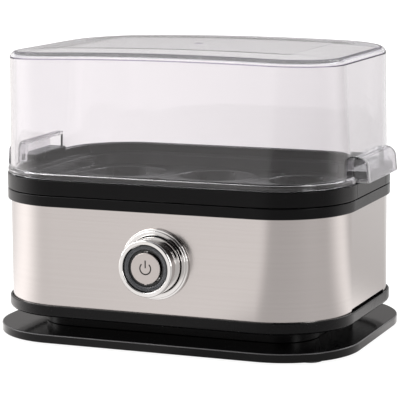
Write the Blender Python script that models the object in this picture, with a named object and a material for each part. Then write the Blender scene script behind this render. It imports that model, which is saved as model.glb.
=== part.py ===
"""Countertop egg boiler as an assembly: foot plate, chassis, steel sleeve, rings, pan, tray, lid and heater.

Metres, +Z up. The assembly empty stands under the middle of the body's outline. It is set back a little,
so that the world origin lies on the ground under the middle of the whole outline, knob included.
Heights are measured from the ground. Insets are measured inwards from the steel's outer face.
"""

import math

import bmesh
import bpy
from mathutils import Matrix, Vector

# Running values
FIT_GAP = 0.0003
CUT_OVERRUN = 0.002
MERGE_DISTANCE = 0.000001
WELD_DISTANCE = 0.00001

# Seats in the tray, which set the size of the body
SEAT_PITCH_LONG = 0.047
SEAT_PITCH_DEEP = 0.044
SEAT_RADIUS = 0.0185
SEAT_THROAT_RADIUS = 0.015
SEAT_DEPTH = 0.0068
SEAT_END_MARGIN = 0.006
SEAT_SIDE_MARGIN = 0.0056
CUP_WALL = 0.0015
CUP_SLOT_WIDTH = 0.003
CUP_SLOT_HEIGHT = 0.0038
STEAM_HOLE_RADIUS = 0.0035

# Rings round the pan
RING_OVERHANG = 0.0016
RING_EDGE = 0.0005
BEZEL_HEIGHT = 0.0051
COLLAR_HEIGHT = 0.0071
COLLAR_SEAT_WIDTH = 0.0026
COLLAR_LEDGE_WIDTH = 0.004
COLLAR_LEDGE_DROP = 0.0034
COLLAR_LEG_INSET = 0.0015

# Egg tray
TRAY_PLAY = 0.002
TRAY_WALL = 0.0016
TRAY_DRAFT = 0.0018
TRAY_BASIN_DEPTH = 0.0053
TRAY_RIM_RISE = 0.0045
TRAY_EDGE = 0.0007
GRIP_HALF_WIDTH = 0.018
GRIP_PANEL_HALF_WIDTH = 0.022
GRIP_PANEL_THICKNESS = 0.0029
GRIP_BRIDGE_THICKNESS = 0.0018
GRIP_TAB_REACH = 0.005
GRIP_TAB_WIDTH = 0.0098
GRIP_TAB_THICKNESS = 0.0035
GRIP_TAB_CLEARANCE = 0.0013
GRIP_EDGE = 0.0006

# Body outline
LEDGE_INSET = COLLAR_SEAT_WIDTH + COLLAR_LEDGE_WIDTH
TRAY_TOP_INSET = LEDGE_INSET + TRAY_PLAY
DECK_INSET = TRAY_TOP_INSET + TRAY_WALL + TRAY_DRAFT
BODY_LENGTH = 2 * (SEAT_PITCH_LONG + SEAT_RADIUS + CUP_WALL + SEAT_END_MARGIN + DECK_INSET)
BODY_DEPTH = SEAT_PITCH_DEEP + 2 * (SEAT_RADIUS + CUP_WALL + SEAT_SIDE_MARGIN + DECK_INSET)
BODY_RADIUS = 0.035

# Foot plate and pads
PAD_DROP = 0.0012
PAD_RADIUS = 0.0065
PAD_RECESS = 0.0012
PAD_MARGIN = 0.0027
PAD_EDGE = 0.0006
PLATE_THICKNESS = 0.0042
PLATE_OVERHANG = 0.0048
PLATE_RADIUS = 0.0372
PLATE_EDGE = 0.0007
LABEL_LENGTH = 0.060
LABEL_WIDTH = 0.032
LABEL_SINK = 0.0006

# Chassis: waist, lip and spigot
WAIST_HEIGHT = 0.0084
WAIST_INSET = 0.016
WAIST_WALL = 0.0024
LIP_HEIGHT = 0.0047
LIP_OVERHANG = 0.0014
LIP_DROP = 0.0009
LIP_RIM_WIDTH = 0.0054
LIP_LOWER_EDGE = 0.0016
LIP_UPPER_EDGE = 0.0005
CHASSIS_WEB = 0.0022
SPIGOT_WALL = 0.002
SPIGOT_RISE = 0.0055
BOSS_RADIUS = 0.0046
BOSS_SINK = 0.0008
BOSS_RISE = 0.0057

# Steel sleeve
STEEL_SHOW = 0.047
SLEEVE_WALL = 0.0008
SLEEVE_LAP = 0.0025
SLEEVE_NOTCH_RISE = 0.0013

# Top bezel
BEZEL_SPIGOT_DROP = 0.0083
POST_RADIUS = 0.0042
GUSSET_HEIGHT = 0.010
GUSSET_WIDTH = 0.003

# Case screws
SCREW_HEAD_RADIUS = 0.0035
SCREW_HEAD_HEIGHT = 0.0022
SCREW_RADIUS = 0.0017
SCREW_BITE = 0.012
SCREW_SLOT_WIDTH = 0.0012
SCREW_SLOT_DEPTH = 0.001
SCREW_RECESS = 0.0003

# Boiling pan, seal and lower heater parts
SEAL_THICKNESS = 0.0008
SEAL_INSET = 0.0024
SEAL_WIDTH = 0.0038
PAN_WALL = 0.0008
PAN_FLANGE_INSET = 0.0018
PAN_STEP = 0.0014
PAN_DRAFT = 0.0044
PAN_DEPTH = 0.0156
PAN_FLOOR_EDGE = 0.004
ELEMENT_RADIUS = 0.00325
ELEMENT_LENGTH = 0.090
ELEMENT_WIDTH = 0.056
ELEMENT_BEND = 0.018
ELEMENT_LEG_BEND = 0.0065
ELEMENT_LEG_SPACING = 0.018
ELEMENT_LEG_DROP = 0.011
REFLECTOR_DROP = 0.0093
REFLECTOR_WALL = 0.0008
REFLECTOR_RIM = 0.0038
REFLECTOR_RADIUS = 0.008
REFLECTOR_END_INSET = 0.016
REFLECTOR_EDGE = 0.0009
THERMOSTAT_RADIUS = 0.0085
THERMOSTAT_FLANGE = 0.001
THERMOSTAT_FLANGE_THICKNESS = 0.002
THERMOSTAT_NECK_RADIUS = 0.0065
THERMOSTAT_NECK_DROP = 0.0043
BLADE_SPACING = 0.008
BLADE_WIDTH = 0.0048
BLADE_THICKNESS = 0.0008
BLADE_LENGTH = 0.007
FUSE_RADIUS = 0.0022
FUSE_LENGTH = 0.012
FUSE_TAIL = 0.004
FUSE_TAIL_RADIUS = 0.0006
FUSE_PLACE = 0.032

# Electrics on the foot plate
TERMINAL_LENGTH = 0.024
TERMINAL_DEPTH = 0.012
TERMINAL_HEIGHT = 0.009
TERMINAL_SETBACK = 0.014
TERMINAL_SLOT_WIDTH = 0.0045
TERMINAL_SLOT_DEPTH = 0.0035
TERMINAL_PITCH = 0.007
TERMINAL_EDGE = 0.0005
LEAD_RADIUS = 0.0012
LEAD_SLACK = 0.006

# Cord outlet bush in the rear of the waist
GLAND_WIDTH = 0.009
GLAND_WALL = 0.00075
GLAND_FLANGE_WIDTH = 0.012
GLAND_FLANGE_THICKNESS = 0.0016
GLAND_SLACK = 0.0003

# Knob on the front
KNOB_REACH = 0.013
KNOB_OFFSET = 0.0024
BARREL_RADIUS = 0.01325
BARREL_REAR = 0.008
BARREL_EDGE = 0.0014
BARREL_BORE_EDGE = 0.0005
BARREL_WEB = 0.002
BARREL_WEB_REACH = 0.0015
FLANGE_WIDTH = 0.00325
FLANGE_RADIUS = BARREL_RADIUS + FLANGE_WIDTH
FLANGE_THICKNESS = 0.0024
FLANGE_STEP_WIDTH = 0.0009
FLANGE_STEP_DEPTH = 0.0008
FLANGE_EDGE = 0.0006
NUT_WIDTH = 0.00275
NUT_RADIUS = BARREL_RADIUS + NUT_WIDTH
NUT_THICKNESS = 0.0024
BOARD_THICKNESS = 0.0012
LIGHT_RING_RADIUS = 0.0107
LIGHT_RING_WIDTH = 0.003
LIGHT_RING_RECESS = 0.0006
LIGHT_RING_SLOPE_WIDTH = 0.0019
LIGHT_RING_SLOPE_DEPTH = 0.0007
LIGHT_RING_GROOVE_DEPTH = 0.0016
LIGHT_RING_GROOVE_DRAFT = 0.0003
LIGHT_RING_EDGE = 0.0004
BUTTON_RADIUS = 0.0072
BUTTON_THICKNESS = 0.0022
BUTTON_EDGE = 0.0003
BUTTON_TRAVEL = 0.0015
STEM_RADIUS = 0.0026
STEM_PLAY = 0.0005
STEM_REAR = 0.006
SPRING_RADIUS = 0.0043
SPRING_WIRE = 0.0003
SWITCH_PLATE_THICKNESS = 0.0015
SWITCH_BODY_DEPTH = 0.008
SWITCH_BODY_WIDTH = 0.012
SWITCH_BODY_HEIGHT = 0.007
SWITCH_PLUNGER_RADIUS = 0.002

# Lid
LID_FLANGE_OVERHANG = 0.0013
LID_FLANGE_HEIGHT = 0.0024
LID_FLANGE_EDGE = 0.0006
LID_WALL_INSET = 0.0001
LID_WALL = 0.0018
LID_DRAFT = 0.0018
LID_HEIGHT = 0.0573
LID_FILLET = 0.0032
LID_ARCH = 0.002
LID_CROWN = 0.0006
LID_CORNER_TIGHTENING = 0.004
VENT_RADIUS = 0.002
HOOD_REACH = 0.0076
HOOD_HALF_WIDTH = 0.022
HOOD_HEIGHT = 0.0119
HOOD_WALL = 0.0016
HOOD_DRAFT = 0.001
HOOD_TOP_RADIUS = 0.005
HOOD_EDGE = 0.0008

# Fineness of curves
CORNER_STEPS = 6
ARC_STEPS = 3
CHAMFER_RADIUS = 0.001
SIDE_STEPS = 4
KNOB_STEPS = 24
CUP_STEPS = 20
SMALL_STEPS = 14
SCREW_STEPS = 8
LEAD_STEPS = 10
SPRING_TURNS = 3
SPRING_STEPS = 8

# Shares
CROWN_RING_SHARES = (0.3, 0.6, 0.85)
FILLET_LIMIT_SHARE = 0.45
TRAVEL_MARGIN_SHARE = 0.2
SLOT_REACH_SHARE = 0.5
BEVEL_LIMIT_SHARE = 0.25
LEAD_END_SHARE = 0.5

# Heights from the ground, from the bottom up
PLATE_BASE = PAD_DROP
PLATE_TOP = PLATE_BASE + PLATE_THICKNESS
WAIST_BASE = PLATE_TOP + FIT_GAP
LIP_BASE = PLATE_TOP + WAIST_HEIGHT
WEB_TOP = LIP_BASE + CHASSIS_WEB
LIP_TOP = LIP_BASE + LIP_HEIGHT
SLEEVE_BASE = LIP_TOP - SLEEVE_LAP
BOSS_TOP = WEB_TOP + BOSS_RISE
POST_BASE = BOSS_TOP + FIT_GAP
BEZEL_BASE = LIP_TOP + STEEL_SHOW
KNOB_HEIGHT = (LIP_TOP + BEZEL_BASE) / 2
SLEEVE_TOP = BEZEL_BASE + SLEEVE_LAP
BEZEL_WEB_BASE = SLEEVE_TOP + FIT_GAP
BEZEL_TOP = BEZEL_BASE + BEZEL_HEIGHT
COLLAR_BASE = BEZEL_TOP + FIT_GAP
COLLAR_TOP = COLLAR_BASE + COLLAR_HEIGHT
LEDGE_TOP = COLLAR_TOP - COLLAR_LEDGE_DROP
SEAL_BASE = BEZEL_TOP + FIT_GAP
PAN_FLANGE_BASE = SEAL_BASE + SEAL_THICKNESS + FIT_GAP
PAN_RIM = PAN_FLANGE_BASE + PAN_WALL
PAN_FLOOR = PAN_RIM - PAN_DEPTH
PAN_UNDERSIDE = PAN_FLOOR - PAN_WALL
COLLAR_STEP = PAN_RIM + FIT_GAP
REFLECTOR_TOP = PAN_UNDERSIDE - REFLECTOR_DROP
REFLECTOR_BASE = REFLECTOR_TOP - REFLECTOR_WALL
POST_TOP = REFLECTOR_BASE - FIT_GAP
ELEMENT_HEIGHT = PAN_UNDERSIDE - FIT_GAP - ELEMENT_RADIUS
TRAY_FLANGE_BASE = LEDGE_TOP + FIT_GAP
TRAY_FLANGE_TOP = TRAY_FLANGE_BASE + TRAY_WALL
DECK_TOP = TRAY_FLANGE_TOP - TRAY_BASIN_DEPTH
DECK_BASE = DECK_TOP - TRAY_WALL
TRAY_RIM_TOP = TRAY_FLANGE_TOP + TRAY_RIM_RISE
CUP_BASE = DECK_TOP - SEAT_DEPTH
LID_BASE = COLLAR_TOP + FIT_GAP
LID_FLANGE_TOP = LID_BASE + LID_FLANGE_HEIGHT
LID_TOP = LID_BASE + LID_HEIGHT
TAB_BASE = LID_BASE + GRIP_TAB_CLEARANCE
TAB_TOP = TAB_BASE + GRIP_TAB_THICKNESS

# Insets and places in plan
HALF_LENGTH = BODY_LENGTH / 2
HALF_DEPTH = BODY_DEPTH / 2
CORNER_X = HALF_LENGTH - BODY_RADIUS
CORNER_Y = HALF_DEPTH - BODY_RADIUS
SLEEVE_CLEAR_INSET = SLEEVE_WALL + FIT_GAP
SPIGOT_INSET = SLEEVE_CLEAR_INSET + SPIGOT_WALL
WAIST_INNER_INSET = WAIST_INSET + WAIST_WALL
PAN_MOUTH_INSET = LEDGE_INSET + PAN_STEP
PAN_FLOOR_INSET = PAN_MOUTH_INSET + PAN_DRAFT
TRAY_RIM_INSET = COLLAR_SEAT_WIDTH + FIT_GAP
TRAY_RIM_INNER_INSET = TRAY_RIM_INSET + TRAY_WALL
TRAY_BOTTOM_INSET = TRAY_TOP_INSET + TRAY_DRAFT
BOSS_REACH = BODY_RADIUS - WAIST_INNER_INSET - BOSS_RADIUS + BOSS_SINK
SWITCH_REACH = BARREL_REAR + FIT_GAP + SWITCH_PLATE_THICKNESS + SWITCH_BODY_DEPTH
ASSEMBLY_SETBACK = (KNOB_REACH - PLATE_OVERHANG) / 2

# Finishes: colour, roughness, metallic
FINISHES = {
    "black_plastic": ((0.019, 0.019, 0.020), 0.38, 0.0),
    "rubber": ((0.012, 0.012, 0.012), 0.75, 0.0),
    "brushed_steel": ((0.62, 0.58, 0.56), 0.32, 1.0),
    "pan_steel": ((0.50, 0.50, 0.50), 0.25, 1.0),
    "chrome": ((0.83, 0.83, 0.82), 0.06, 1.0),
    "satin_metal": ((0.60, 0.57, 0.55), 0.36, 1.0),
    "smoked_plastic": ((0.055, 0.055, 0.060), 0.12, 0.0),
    "clear_plastic": ((0.86, 0.85, 0.87), 0.05, 0.0),
    "seal_rubber": ((0.55, 0.53, 0.50), 0.6, 0.0),
    "heater_sheath": ((0.16, 0.15, 0.14), 0.45, 1.0),
    "zinc_plate": ((0.45, 0.45, 0.44), 0.35, 1.0),
    "phenolic": ((0.030, 0.018, 0.012), 0.5, 0.0),
    "white_nylon": ((0.70, 0.69, 0.66), 0.45, 0.0),
    "board_green": ((0.02, 0.12, 0.05), 0.5, 0.0),
    "lead_white": ((0.62, 0.61, 0.58), 0.5, 0.0),
    "lead_brown": ((0.14, 0.06, 0.03), 0.5, 0.0),
    "lead_blue": ((0.03, 0.09, 0.30), 0.5, 0.0),
}


# Scene and materials

def clear_scene():
    for item in list(bpy.data.objects):
        bpy.data.objects.remove(item, do_unlink=True)


def make_material(finish):
    made = bpy.data.materials.get(finish)
    if made:
        return made
    colour, roughness, metallic = FINISHES[finish]
    made = bpy.data.materials.new(finish)
    made.use_nodes = True
    shader = made.node_tree.nodes["Principled BSDF"]
    shader.inputs["Base Color"].default_value = (*colour, 1.0)
    shader.inputs["Roughness"].default_value = roughness
    shader.inputs["Metallic"].default_value = metallic
    if finish == "clear_plastic":
        shader.inputs["Alpha"].default_value = 0.35
    made.diffuse_color = (*colour, 1.0)
    return made


def make_object(name, shape, finish=None, place=(0, 0, 0), turn=(0, 0, 0)):
    """Links the shape as an object that hangs on the assembly; with no finish it is a hidden tool."""
    bmesh.ops.recalc_face_normals(shape, faces=shape.faces[:])
    mesh = bpy.data.meshes.new(name)
    shape.to_mesh(mesh)
    shape.free()
    mesh.shade_smooth()
    mesh.set_sharp_from_angle(angle=math.radians(35))
    made = bpy.data.objects.new(name, mesh)
    bpy.context.scene.collection.objects.link(made)
    made.location = place
    made.rotation_euler = turn
    made.parent = bpy.data.objects["assembly"]
    if finish:
        mesh.materials.append(make_material(finish))
    else:
        made.hide_render = True
        made.display_type = "WIRE"
    return made


def boolean(target, tool, operation):
    modifier = target.modifiers.new(tool.name, "BOOLEAN")
    modifier.operation = operation
    modifier.solver = "EXACT"
    modifier.use_hole_tolerant = True
    modifier.object = tool


def cut(target, tool):
    boolean(target, tool, "DIFFERENCE")


def join(target, tool):
    boolean(target, tool, "UNION")


# Outlines and profiles

def arc(centre, start, end, steps):
    """Points from start to end round centre, by the shorter way."""
    first = math.atan2(start[1] - centre[1], start[0] - centre[0])
    last = math.atan2(end[1] - centre[1], end[0] - centre[0])
    sweep = (last - first + math.pi) % math.tau - math.pi
    radius = math.dist(centre, start)
    points = []
    for step in range(steps + 1):
        angle = first + sweep * step / steps
        points.append((centre[0] + radius * math.cos(angle), centre[1] + radius * math.sin(angle)))
    return points


def rounded(corners, closed=True):
    """A profile whose corners (across, up, radius) become arcs, or chamfers where the radius is small."""
    points = []
    count = len(corners)
    for index, (across, up, radius) in enumerate(corners):
        corner = Vector((across, up))
        at_end = not closed and index in (0, count - 1)
        if radius == 0 or at_end:
            points.append((across, up))
            continue
        back = Vector(corners[index - 1][:2]) - corner
        ahead = Vector(corners[(index + 1) % count][:2]) - corner
        steps = ARC_STEPS if radius > CHAMFER_RADIUS else 1
        points.extend(fillet(corner, back, ahead, radius, steps))
    return points


def fillet(corner, back, ahead, radius, steps):
    """The arc that rounds a corner between the ways back and ahead, within the room that both leave."""
    half_angle = back.angle(ahead) / 2
    room = FILLET_LIMIT_SHARE * min(back.length, ahead.length)
    tangent = min(radius / math.tan(half_angle), room)
    start = corner + back.normalized() * tangent
    end = corner + ahead.normalized() * tangent
    middle = (back.normalized() + ahead.normalized()).normalized()
    centre = corner + middle * (tangent / math.cos(half_angle))
    return arc(centre, start, end, steps)


def plan(offset, half_length=HALF_LENGTH, half_depth=HALF_DEPTH, radius=BODY_RADIUS, side_steps=1):
    """A rounded rectangle, offset outwards. Point i mirrors the point that is i from the end in Y."""
    points = []
    for quarter, (side_x, side_y) in enumerate(((1, 1), (-1, 1), (-1, -1), (1, -1))):
        centre_x = side_x * (half_length - radius)
        centre_y = side_y * (half_depth - radius)
        for step in range(CORNER_STEPS + 1):
            angle = (quarter + step / CORNER_STEPS) * math.pi / 2
            points.append(
                (
                    centre_x + (radius + offset) * math.cos(angle),
                    centre_y + (radius + offset) * math.sin(angle),
                )
            )
        if quarter in (0, 2):
            run = -2 * centre_x
            for step in range(1, side_steps):
                points.append((centre_x + run * step / side_steps, points[-1][1]))
    return points


def level(offset, height, **shape):
    return [(x, y, height) for x, y in plan(offset, **shape)]


# Solids

def skin(rings, closed):
    """Joins rings of equally many points; an open skin is capped with a ladder of quads at each end."""
    shape = bmesh.new()
    rows = [[shape.verts.new(point) for point in ring] for ring in rings]
    count = len(rows[0])
    pairs = list(zip(rows, rows[1:]))
    if closed:
        pairs.append((rows[-1], rows[0]))
    for lower, upper in pairs:
        for index in range(count):
            after = (index + 1) % count
            shape.faces.new((lower[index], lower[after], upper[after], upper[index]))
    if not closed:
        for row in (rows[0], rows[-1]):
            for index in range(count // 2 - 1):
                shape.faces.new(
                    (row[index], row[index + 1], row[count - 2 - index], row[count - 1 - index])
                )
    return shape


def swept_ring(profile, **shape):
    """A closed profile of (offset, height) swept round the plan."""
    return skin([level(offset, height, **shape) for offset, height in profile], closed=True)


def dish(profile, **shape):
    """An open profile of (offset, height) swept round the plan and closed at both ends."""
    return skin([level(offset, height, **shape) for offset, height in profile], closed=False)


def block(low, high, edge=0.0):
    shape = bmesh.new()
    bmesh.ops.create_cube(shape, size=1.0)
    low, high = Vector(low), Vector(high)
    size = high - low
    bmesh.ops.scale(shape, vec=size, verts=shape.verts)
    bmesh.ops.translate(shape, vec=(low + high) / 2, verts=shape.verts)
    if edge:
        width = min(edge, BEVEL_LIMIT_SHARE * min(size))
        bmesh.ops.bevel(shape, geom=shape.edges[:], offset=width, segments=1, affect="EDGES")
    return shape


def prism(outline, sweep):
    """A flat outline of points in space, moved along the sweep."""
    shape = bmesh.new()
    near = [shape.verts.new(point) for point in outline]
    far = [shape.verts.new(Vector(point) + Vector(sweep)) for point in outline]
    shape.faces.new(near)
    shape.faces.new(far)
    for index in range(len(outline)):
        before = index - 1
        shape.faces.new((near[before], near[index], far[index], far[before]))
    return shape


def extruded(profile, half_depth):
    """A closed profile of (x, z) that reaches the half depth to the front and to the rear."""
    return prism([(x, -half_depth, z) for x, z in profile], (0, 2 * half_depth, 0))


def turned(profile, steps):
    """A profile of (radius, height) spun round Z; it is closed, or it starts and ends on the axis."""
    shape = bmesh.new()
    verts = [shape.verts.new((radius, 0, height)) for radius, height in profile]
    edges = [shape.edges.new(pair) for pair in zip(verts, verts[1:])]
    if profile[0][0] > 0:
        edges.append(shape.edges.new((verts[-1], verts[0])))
    bmesh.ops.spin(
        shape,
        geom=verts + edges,
        axis=(0, 0, 1),
        cent=(0, 0, 0),
        steps=steps,
        angle=math.tau,
        use_merge=True,
    )
    bmesh.ops.remove_doubles(shape, verts=shape.verts[:], dist=MERGE_DISTANCE)
    return shape


def rod(radius, low, high, steps=SMALL_STEPS, top_radius=None):
    """An upright rod, tapered where top_radius is given."""
    upper = radius if top_radius is None else top_radius
    return turned([(0, low), (radius, low), (upper, high), (0, high)], steps)


def gathered(shapes):
    """Several separate shapes in one, each with its own 4x4 placing matrix."""
    whole = bmesh.new()
    for shape, matrix in shapes:
        part = bpy.data.meshes.new("part")
        bmesh.ops.transform(shape, matrix=matrix, verts=shape.verts)
        bmesh.ops.recalc_face_normals(shape, faces=shape.faces[:])
        shape.to_mesh(part)
        shape.free()
        whole.from_mesh(part)
        bpy.data.meshes.remove(part)
    return whole


def placed(x=0, y=0, z=0):
    return Matrix.Translation((x, y, z))


def rounded_path(corners, radius, steps):
    """A path in space whose inner corners become arcs of the given radius."""
    points = [Vector(corners[0])]
    for before, corner, after in zip(corners, corners[1:], corners[2:]):
        corner = Vector(corner)
        back = Vector(before) - corner
        ahead = Vector(after) - corner
        half_angle = back.angle(ahead) / 2
        tangent = min(radius / math.tan(half_angle), FILLET_LIMIT_SHARE * min(back.length, ahead.length))
        start = corner + back.normalized() * tangent
        end = corner + ahead.normalized() * tangent
        centre = corner + (back.normalized() + ahead.normalized()).normalized() * (
            tangent / math.cos(half_angle)
        )
        turn = (start - centre).rotation_difference(end - centre)
        for step in range(steps + 1):
            part = turn.copy()
            part.angle = turn.angle * step / steps
            points.append(centre + part @ (start - centre))
    points.append(Vector(corners[-1]))
    return points


def tube(name, points, radius, finish, sides=2):
    """A tube along the points, with filled ends."""
    curve = bpy.data.curves.new(name, "CURVE")
    curve.dimensions = "3D"
    curve.bevel_depth = radius
    curve.bevel_resolution = sides
    curve.use_fill_caps = True
    spline = curve.splines.new("POLY")
    spline.points.add(len(points) - 1)
    for target, point in zip(spline.points, points):
        target.co = (*point, 1.0)
    made = bpy.data.objects.new(name, curve)
    bpy.context.scene.collection.objects.link(made)
    made.parent = bpy.data.objects["assembly"]
    curve.materials.append(make_material(finish))
    return made


def smooth_route(corners, count, straight):
    """A smooth curve through the corners, in evenly numbered points, with a straight bit at each end."""
    knots = [Vector(corner) for corner in corners]
    first_way = (knots[1] - knots[0]).normalized()
    last_way = (knots[-2] - knots[-1]).normalized()
    start = [knots[0], knots[0] + first_way * straight]
    end = [knots[-1] + last_way * straight, knots[-1]]
    knots = [2 * knots[0] - knots[1], *knots, 2 * knots[-1] - knots[-2]]
    spans = len(knots) - 3
    points = []
    for step in range(1, count):
        span, part = divmod(step * spans, count)
        before, near, far, after = knots[span : span + 4]
        points.append(catmull_rom(before, near, far, after, part / count))
    return start + points + end


def catmull_rom(before, near, far, after, share):
    """The point between near and far on the curve through all four."""
    slope = far - before
    bend = 2 * before - 5 * near + 4 * far - after
    twist = 3 * near - before - 3 * far + after
    return (2 * near + slope * share + bend * share**2 + twist * share**3) / 2


def corner_places(reach, corner_x=CORNER_X, corner_y=CORNER_Y):
    """The four points that lie the given reach outwards from the corner centres, on the diagonals."""
    step = reach / math.sqrt(2)
    return [
        (side_x * (corner_x + step), side_y * (corner_y + step))
        for side_x, side_y in ((-1, -1), (1, -1), (1, 1), (-1, 1))
    ]


# Foot plate, pads and screws

def plate_plan():
    return {
        "half_length": HALF_LENGTH + PLATE_OVERHANG,
        "half_depth": HALF_DEPTH + PLATE_OVERHANG,
        "radius": PLATE_RADIUS,
    }


def pad_places():
    reach = PLATE_RADIUS - PAD_MARGIN - PAD_RADIUS
    corner_x = HALF_LENGTH + PLATE_OVERHANG - PLATE_RADIUS
    corner_y = HALF_DEPTH + PLATE_OVERHANG - PLATE_RADIUS
    return corner_places(reach, corner_x, corner_y)


def screw_drill():
    """A stepped drill: the well of a screw's head, and the hole of its shank."""
    well = SCREW_HEAD_RADIUS + FIT_GAP
    hole = SCREW_RADIUS + FIT_GAP
    under = PLATE_BASE - CUT_OVERRUN
    step = PLATE_BASE + SCREW_RECESS + SCREW_HEAD_HEIGHT + FIT_GAP
    over = PLATE_TOP + CUT_OVERRUN
    profile = [(0, under), (well, under), (well, step), (hole, step), (hole, over), (0, over)]
    return turned(profile, SMALL_STEPS)


def make_base_cover():
    edge_inset = 2 * PLATE_EDGE
    profile = rounded(
        [
            (-edge_inset, PLATE_BASE, 0),
            (0, PLATE_BASE, PLATE_EDGE),
            (0, PLATE_TOP, PLATE_EDGE),
            (-edge_inset, PLATE_TOP, 0),
        ],
        closed=False,
    )
    cover = make_object("base_cover", dish(profile, **plate_plan()), "black_plastic")
    shapes = []
    for x, y in pad_places():
        pocket = rod(PAD_RADIUS + FIT_GAP, PLATE_BASE - CUT_OVERRUN, PLATE_BASE + PAD_RECESS)
        shapes.append((pocket, placed(x, y)))
    for x, y in corner_places(BOSS_REACH):
        shapes.append((screw_drill(), placed(x, y)))
    cut(cover, make_object("base_cover_wells", gathered(shapes)))
    label = block(
        (-LABEL_LENGTH / 2, -LABEL_WIDTH / 2, PLATE_BASE - CUT_OVERRUN),
        (LABEL_LENGTH / 2, LABEL_WIDTH / 2, PLATE_BASE + LABEL_SINK),
    )
    cut(cover, make_object("base_cover_label_recess", label))


def make_foot_pads():
    top = PLATE_BASE + PAD_RECESS - FIT_GAP
    profile = rounded(
        [(0, 0, 0), (PAD_RADIUS, 0, PAD_EDGE), (PAD_RADIUS, top, 0), (0, top, 0)], closed=False
    )
    for number, (x, y) in enumerate(pad_places(), start=1):
        make_object(f"foot_pad_{number}", turned(profile, SMALL_STEPS), "rubber", place=(x, y, 0))


def make_case_screws():
    head_base = PLATE_BASE + SCREW_RECESS
    head_top = head_base + SCREW_HEAD_HEIGHT
    end = POST_BASE + SCREW_BITE
    profile = [
        (0, 0),
        (SCREW_HEAD_RADIUS, 0),
        (SCREW_HEAD_RADIUS, head_top - head_base),
        (SCREW_RADIUS, head_top - head_base),
        (SCREW_RADIUS, end - head_base - SCREW_RADIUS),
        (0, end - head_base),
    ]
    for number, (x, y) in enumerate(corner_places(BOSS_REACH), start=1):
        screw = make_object(
            f"case_screw_{number}", turned(profile, SCREW_STEPS), "zinc_plate", place=(x, y, head_base)
        )
        slots = []
        reach = SCREW_HEAD_RADIUS * SLOT_REACH_SHARE
        half = SCREW_SLOT_WIDTH / 2
        slots.append((block((-reach, -half, -CUT_OVERRUN), (reach, half, SCREW_SLOT_DEPTH)), placed()))
        slots.append((block((-half, -reach, -CUT_OVERRUN), (half, reach, SCREW_SLOT_DEPTH)), placed()))
        for arm, (shape, matrix) in zip("ab", slots):
            tool = make_object(f"case_screw_{number}_slot_{arm}", shape, place=(x, y, head_base))
            cut(screw, tool)


# Chassis, sleeve and bezel

def spigot_gap_cutter(name, low, high):
    """A notch in the front spigot behind the knob, as wide as its nut needs."""
    reach = NUT_RADIUS + FIT_GAP
    low_corner = (KNOB_OFFSET - reach, SLEEVE_WALL - HALF_DEPTH, low)
    high_corner = (KNOB_OFFSET + reach, WAIST_INSET - HALF_DEPTH, high)
    return make_object(name, block(low_corner, high_corner))


def make_chassis():
    rebate_floor = SLEEVE_BASE - FIT_GAP
    spigot_top = LIP_TOP + SPIGOT_RISE
    rim_base = LIP_BASE - LIP_DROP
    rim_inner = LIP_OVERHANG - LIP_RIM_WIDTH
    profile = rounded(
        [
            (rim_inner, LIP_BASE, 0),
            (rim_inner, rim_base, 0),
            (LIP_OVERHANG, rim_base, LIP_LOWER_EDGE),
            (LIP_OVERHANG, LIP_TOP, LIP_UPPER_EDGE),
            (FIT_GAP, LIP_TOP, 0),
            (FIT_GAP, rebate_floor, 0),
            (-SLEEVE_CLEAR_INSET, rebate_floor, 0),
            (-SLEEVE_CLEAR_INSET, spigot_top, 0),
            (-SPIGOT_INSET, spigot_top, 0),
            (-SPIGOT_INSET, WEB_TOP, 0),
            (-WAIST_INNER_INSET, WEB_TOP, 0),
            (-WAIST_INNER_INSET, WAIST_BASE, 0),
            (-WAIST_INSET, WAIST_BASE, 0),
            (-WAIST_INSET, LIP_BASE, 0),
        ]
    )
    chassis = make_object("chassis", swept_ring(profile), "black_plastic")
    bosses = []
    for x, y in corner_places(BOSS_REACH):
        bosses.append((rod(BOSS_RADIUS, WAIST_BASE, BOSS_TOP), placed(x, y)))
    join(chassis, make_object("chassis_bosses", gathered(bosses)))
    holes = []
    for x, y in corner_places(BOSS_REACH):
        hole = rod(SCREW_RADIUS + FIT_GAP, WAIST_BASE - CUT_OVERRUN, BOSS_TOP + CUT_OVERRUN, SCREW_STEPS)
        holes.append((hole, placed(x, y)))
    cut(chassis, make_object("chassis_holes", gathered(holes)))
    cut(chassis, spigot_gap_cutter("chassis_knob_gap", WEB_TOP + FIT_GAP, spigot_top + CUT_OVERRUN))
    notch_half = GLAND_WIDTH / 2 + GLAND_SLACK
    notch = block(
        (-notch_half, HALF_DEPTH - WAIST_INNER_INSET - CUT_OVERRUN, WAIST_BASE - CUT_OVERRUN),
        (notch_half, HALF_DEPTH - WAIST_INSET + CUT_OVERRUN, LIP_BASE - FIT_GAP),
    )
    cut(chassis, make_object("chassis_cord_notch", notch))


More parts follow.
